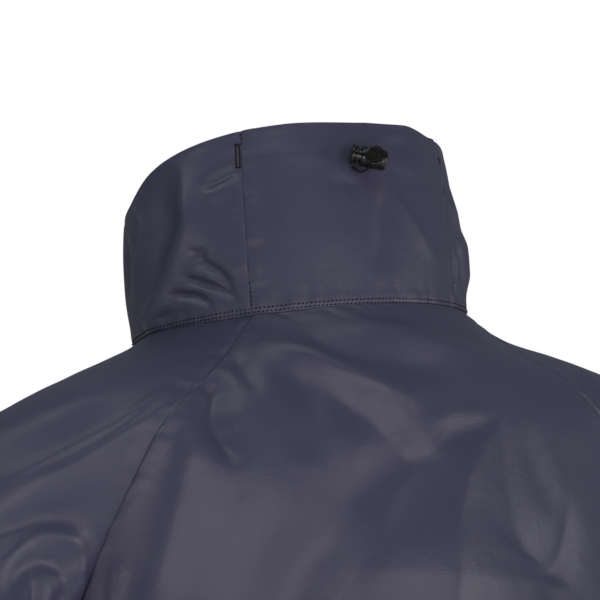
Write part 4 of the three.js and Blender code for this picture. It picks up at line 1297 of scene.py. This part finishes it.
def buttonholePiece():
    made = buttonhole
    bars = []
    for side in (-1, 1):
        apart = made["from"] + side * (made["slit"] / 2 + made["bar"] / 2)
        line, ways = lineAt(laid[made["node"]], made["edge"], apart, made["start"], made["end"])
        bars.append(satinBars(line, ways, made["bar"], made["pitch"], made["thread"]))
    for here in (made["start"] - 0.6, made["end"] - 0.2):
        line, ways = lineAt(laid[made["node"]], made["edge"], made["from"], here, here + 0.8)
        wide = made["slit"] + 2 * made["bar"] + 0.4
        bars.append(satinBars(line + ways * 0.12, ways, wide, 0.3, made["thread"]))
    satinPiece("buttonhole_left", bars)


def bartackPiece():
    made = bartack
    line, ways = lineAt(laid[made["node"]], made["edge"], made["from"], made["start"], made["end"])
    line = line + ways * 0.2
    satinPiece("bartack_right", [satinBars(line, ways, made["wide"], made["pitch"], made["thread"])])


# zip tapes and coil: in and backIn are how far they lie behind the cloth's face
zipTape = {"in": 2.3, "wall": 1.0, "top": 0.96, "end": 1.9656, "flat": (0.0143, 0.81),
           "reach": 11, "edge": 4.9, "columns": [0, 2.2, 4.4, 6.6, 8.8, 11, 12.6, 14.2]}
zipCoil = {"half": 3.0, "past": 0.55, "pitch": 1.27, "radius": 0.56, "in": 1.65, "backIn": 2.5,
           "backWall": 0.6, "open": 2.1,  # open is how far from the middle the unjoined teeth stop
           "size": np.array([0.7, 1, 1, 1, 0.5]), "rise": np.array([-0.3, 0, 0.12, 0.1, -0.2])}
sliderAt = {"height": 0.8, "gap": 2.4}  # the teeth close this far above the slider's middle


def zipRows(heights, levels, distances):
    # rows across the left front beside the zip, at distances in from its turned edge
    rows = []
    for on, place, top in (("collar", heights, 3), ("frontLeft", levels, 1)):
        across = np.linspace(top - 0.45, top, 91)
        for here in place:
            row = surfaces[on](across, np.full(91, here))[::-1]
            rows.append(placesAt(np.asarray(distances, float), runOf(row), row))
    return np.array(rows)


def tapePiece(side):
    made = zipTape
    over = np.array(made["columns"])
    beside = made["reach"] - over[over <= made["reach"]]
    rows = zipRows(np.linspace(made["top"], 0, 50)[:-1], np.linspace(0, made["end"], 300), beside)
    edge = rows[:, -1]
    inner = [np.stack([np.full(len(edge), x), edge[:, 1], edge[:, 2]], -1)
             for x in (made["edge"], zipCoil["half"] + 0.3)]
    grid = np.concatenate([rows, np.array(inner).transpose(1, 0, 2)], 1)
    outer = (grid - gridOuts(grid, 1) * made["in"]) * np.array([side, 1, 1])
    down = runOf(outer)
    name = "zip_tape_left" if side > 0 else "zip_tape_right"
    piece = shell(name + "_woven", outer, side, made["wall"], finishes["tape"], flatUv(over, -down))
    fitPiece(piece, name)
    return down[-1, -1]


def zipLine():
    # the zip's middle line from the top of the tapes to the box, with the ways out
    heights = np.linspace(zipTape["top"], 0, 90)[:-1]
    edge = zipRows(heights, np.linspace(0, zipTape["end"], 400), [0])[:, 0] * np.array([0, 1, 1])
    across = np.array([1.0, 0, 0])
    down = np.gradient(edge, axis=0)
    return edge, unit(np.cross(across, down))


def coilPiece():
    made = zipCoil
    line, outs = zipLine()
    if outs[0, 1] > 0:
        outs = -outs
    run = runOf(line)
    slider = collarPlace(3.0, sliderAt["height"]) * np.array([0, 1, 1])
    closedFrom = run[np.argmin(np.linalg.norm(line - slider, axis=1))] - sliderAt["gap"]
    teeth = []
    for side in (-1, 1):
        offs = np.arange(0.8, run[-1] - 0.8, made["pitch"]) + (0 if side > 0 else made["pitch"] / 2)
        out = unit(placesAt(offs, run, outs))
        place = placesAt(offs, run, line) - out * made["in"]
        reach = np.where(offs > closedFrom, -made["past"], made["open"])[:, None]
        lines = np.repeat(place[:, None], 5, 1)
        lines[..., 0] = (made["half"] + (reach - made["half"]) * np.linspace(0, 1, 5)[None]) * side
        rings = np.repeat(out[:, None], 5, 1)
        teeth.append(roundedBars(lines, rings, made["radius"], made["size"], made["rise"]))
    places, faces = joinLines(teeth)
    fitPiece(meshOf("zip_coil_teeth", places, faces, finishes["coil"]), "zip_chain")
    line, outs = line[run > closedFrom], outs[run > closedFrom]
    beside = np.linspace(-made["half"], made["half"], 5)
    grid = np.stack([line - outs * made["backIn"] + np.array([x, 0, 0]) for x in beside], 1)
    uv = flatUv(beside + made["half"], -runOf(grid))
    fitPiece(shell("zip_coil_backing", grid, 1, made["backWall"], finishes["tape"], uv))


# the cord lock's moulded pieces, in its own axes: along the barrel, up, and out of the collar
barrelShape = {"start": -4, "end": 9, "radius": 5.2, "edge": 0.5, "round": 2, "bore": 3.9, "boreEnd": -2.2}
bossShape = {"at": 2, "radius": 5, "out": 5.7, "edge": 0.5, "dish": 4.2, "dishDeep": 0.6}
plungerShape = {"stem": 3.5, "stemEnd": -3.9, "cap": 5, "edge": 0.4, "capStart": -9, "capEnd": -7.6}
plungerRib = {"start": -6.9, "end": -6, "radius": 4.7, "edge": 0.25}
tunnelShape = {"start": -0.3, "end": 2.1, "half": 1.2}


def turnedMesh(name, profile, aboutOut=False, around=72):
    # a closed lathe-turned body: along the barrel, or about the way out of its disc
    turn = np.arange(around) * 2 * math.pi / around
    rings = [[(a, r * math.cos(t), r * math.sin(t)) for t in turn] for a, r in profile]
    last = len(rings) * around + 1
    places = [(profile[0][0], 0, 0)] + [place for ring in rings for place in ring] + [(profile[-1][0], 0, 0)]
    faces = []
    for i in range(around):
        j = (i + 1) % around
        for k in range(len(rings) - 1):
            a, b = 1 + k * around, 1 + (k + 1) * around
            faces.append((a + i, b + i, b + j, a + j))
        faces.append((0, 1 + i, 1 + j))
        faces.append((last, last - around + j, last - around + i))
    mesh = bpy.data.meshes.new(name)
    mesh.from_pydata(places, [], faces)
    mesh.flip_normals()
    if aboutOut:
        mesh.transform(Matrix.Rotation(math.radians(-90), 4, "Y"))
    mesh.transform(Matrix.Translation((bossShape["at"] if aboutOut else 0, 0, lock["out"])))
    return newObject(name, mesh)


def cutOrJoined(body, others):
    # each other piece comes with how it meets the body: "UNION" or "DIFFERENCE"
    for other, operation in others:
        step = body.modifiers.new(operation.lower(), "BOOLEAN")
        step.operation = operation
        step.solver = "EXACT"
        step.object = other
    bpy.context.view_layer.update()
    held = body.evaluated_get(bpy.context.evaluated_depsgraph_get())
    mesh = bpy.data.meshes.new_from_object(held)
    for piece in [body] + [other for other, operation in others]:
        bpy.data.objects.remove(piece)
    return mesh


def placeLockPiece(name, mesh, node, body):
    mesh.transform(lockFrame())
    mesh.transform(Matrix.Scale(mm, 4))
    mesh.name = name
    mesh.materials.clear()
    mesh.materials.append(finishes["plastic"])
    mesh.polygons.foreach_set("use_smooth", [True] * len(mesh.polygons))
    mesh.set_sharp_from_angle(angle=math.radians(32))
    fitPiece(newObject(name, mesh), node, body)


def boxMesh(name, low, high):
    places = [(x, y, z) for x in (low[0], high[0]) for y in (low[1], high[1]) for z in (low[2], high[2])]
    faces = [(0, 1, 3, 2), (4, 6, 7, 5), (0, 4, 5, 1), (2, 3, 7, 6), (0, 2, 6, 4), (1, 5, 7, 3)]
    mesh = bpy.data.meshes.new(name)
    mesh.from_pydata(places, [], faces)
    return newObject(name, mesh)


def rounded(place, radius, bend, turns, way=1):
    # a quarter turn in a profile at a place along it, in order for its end, or with way -1 for its start
    return [(place - way * bend * (1 - math.sin(a)), radius - bend * (1 - math.cos(a)))
            for a in np.linspace(0, math.pi / 2, turns)][::way]


def lockBarrelPiece():
    made, boss, tunnel = barrelShape, bossShape, tunnelShape
    start, end, half = made["start"], made["end"], tunnel["half"]
    dishFloor, over = boss["out"] - boss["dishDeep"], boss["out"] + 0.5
    rim = rounded(start, made["radius"], made["edge"], 6, -1)
    rim += rounded(end, made["radius"], made["round"], 14)[1:]
    top = rounded(boss["out"], boss["radius"], boss["edge"], 6)
    dishSide = [(dishFloor, boss["dish"] - 0.3), (dishFloor + 0.3, boss["dish"]), (over, boss["dish"])]
    boreSide = [(start - 0.5, made["bore"]), (made["boreEnd"], made["bore"])]
    body = turnedMesh("lock body", [(start, 1)] + rim + [(end, 1)])
    disc = turnedMesh("lock disc", [(0, 1), (0, boss["radius"])] + top + [(boss["out"], 1)], True)
    dish = turnedMesh("lock dish", [(dishFloor, 1)] + dishSide + [(over, 1)], True)
    bore = turnedMesh("lock bore", [(start - 0.5, 1)] + boreSide + [(made["boreEnd"], 1)])
    slit = boxMesh("lock tunnel", (tunnel["start"], -6, lock["out"] - half),
                   (tunnel["end"], 6, lock["out"] + half))
    mesh = cutOrJoined(body, [(disc, "UNION")] + [(piece, "DIFFERENCE") for piece in (dish, bore, slit)])
    placeLockPiece("lock_barrel_moulded", mesh, "lock_barrel", "jacket")


def lockPlungerPiece():
    made, rib = plungerShape, plungerRib
    profile = [(made["capStart"], 1)]
    profile += rounded(made["capStart"], made["cap"], made["edge"], 5, -1)
    profile += rounded(made["capEnd"], made["cap"], made["edge"], 5)
    profile += [(made["capEnd"], made["stem"]), (rib["start"], made["stem"])]
    profile += rounded(rib["start"], rib["radius"], rib["edge"], 5, -1)
    profile += rounded(rib["end"], rib["radius"], rib["edge"], 5)
    profile += [(rib["end"], made["stem"]), (made["stemEnd"], made["stem"]), (made["stemEnd"], 1)]
    mesh = cutOrJoined(turnedMesh("lock plunger", profile), [])
    placeLockPiece("lock_plunger_moulded", mesh, "lock_plunger", "plunger")


def softenEdges():
    # the enamelled pieces' edges are slightly rounded
    for node in zipMetal:
        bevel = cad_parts[node].modifiers.new("soft edges", "BEVEL")
        bevel.width = 0.18 * mm
        bevel.segments = 2
        bevel.limit_method = "ANGLE"
        bevel.angle_limit = math.radians(40)


for on in panels:
    panelPiece(on)
print("stage: body and sleeves")
for node in collarPanels:
    collarPiece(node)
print("stage: collar")
cuffPiece(1)
cuffPiece(-1)
print("stage: cuffs")
print("stage: stitching,", stitching(), "faces")
buttonholePiece()
bartackPiece()
print("stage: buttonhole and bartack")
print("stage: zip tapes,", round(tapePiece(1)), round(tapePiece(-1)), "mm")
coilPiece()
softenEdges()
print("stage: zip")
lockBarrelPiece()
lockPlungerPiece()
print("stage: cord lock")
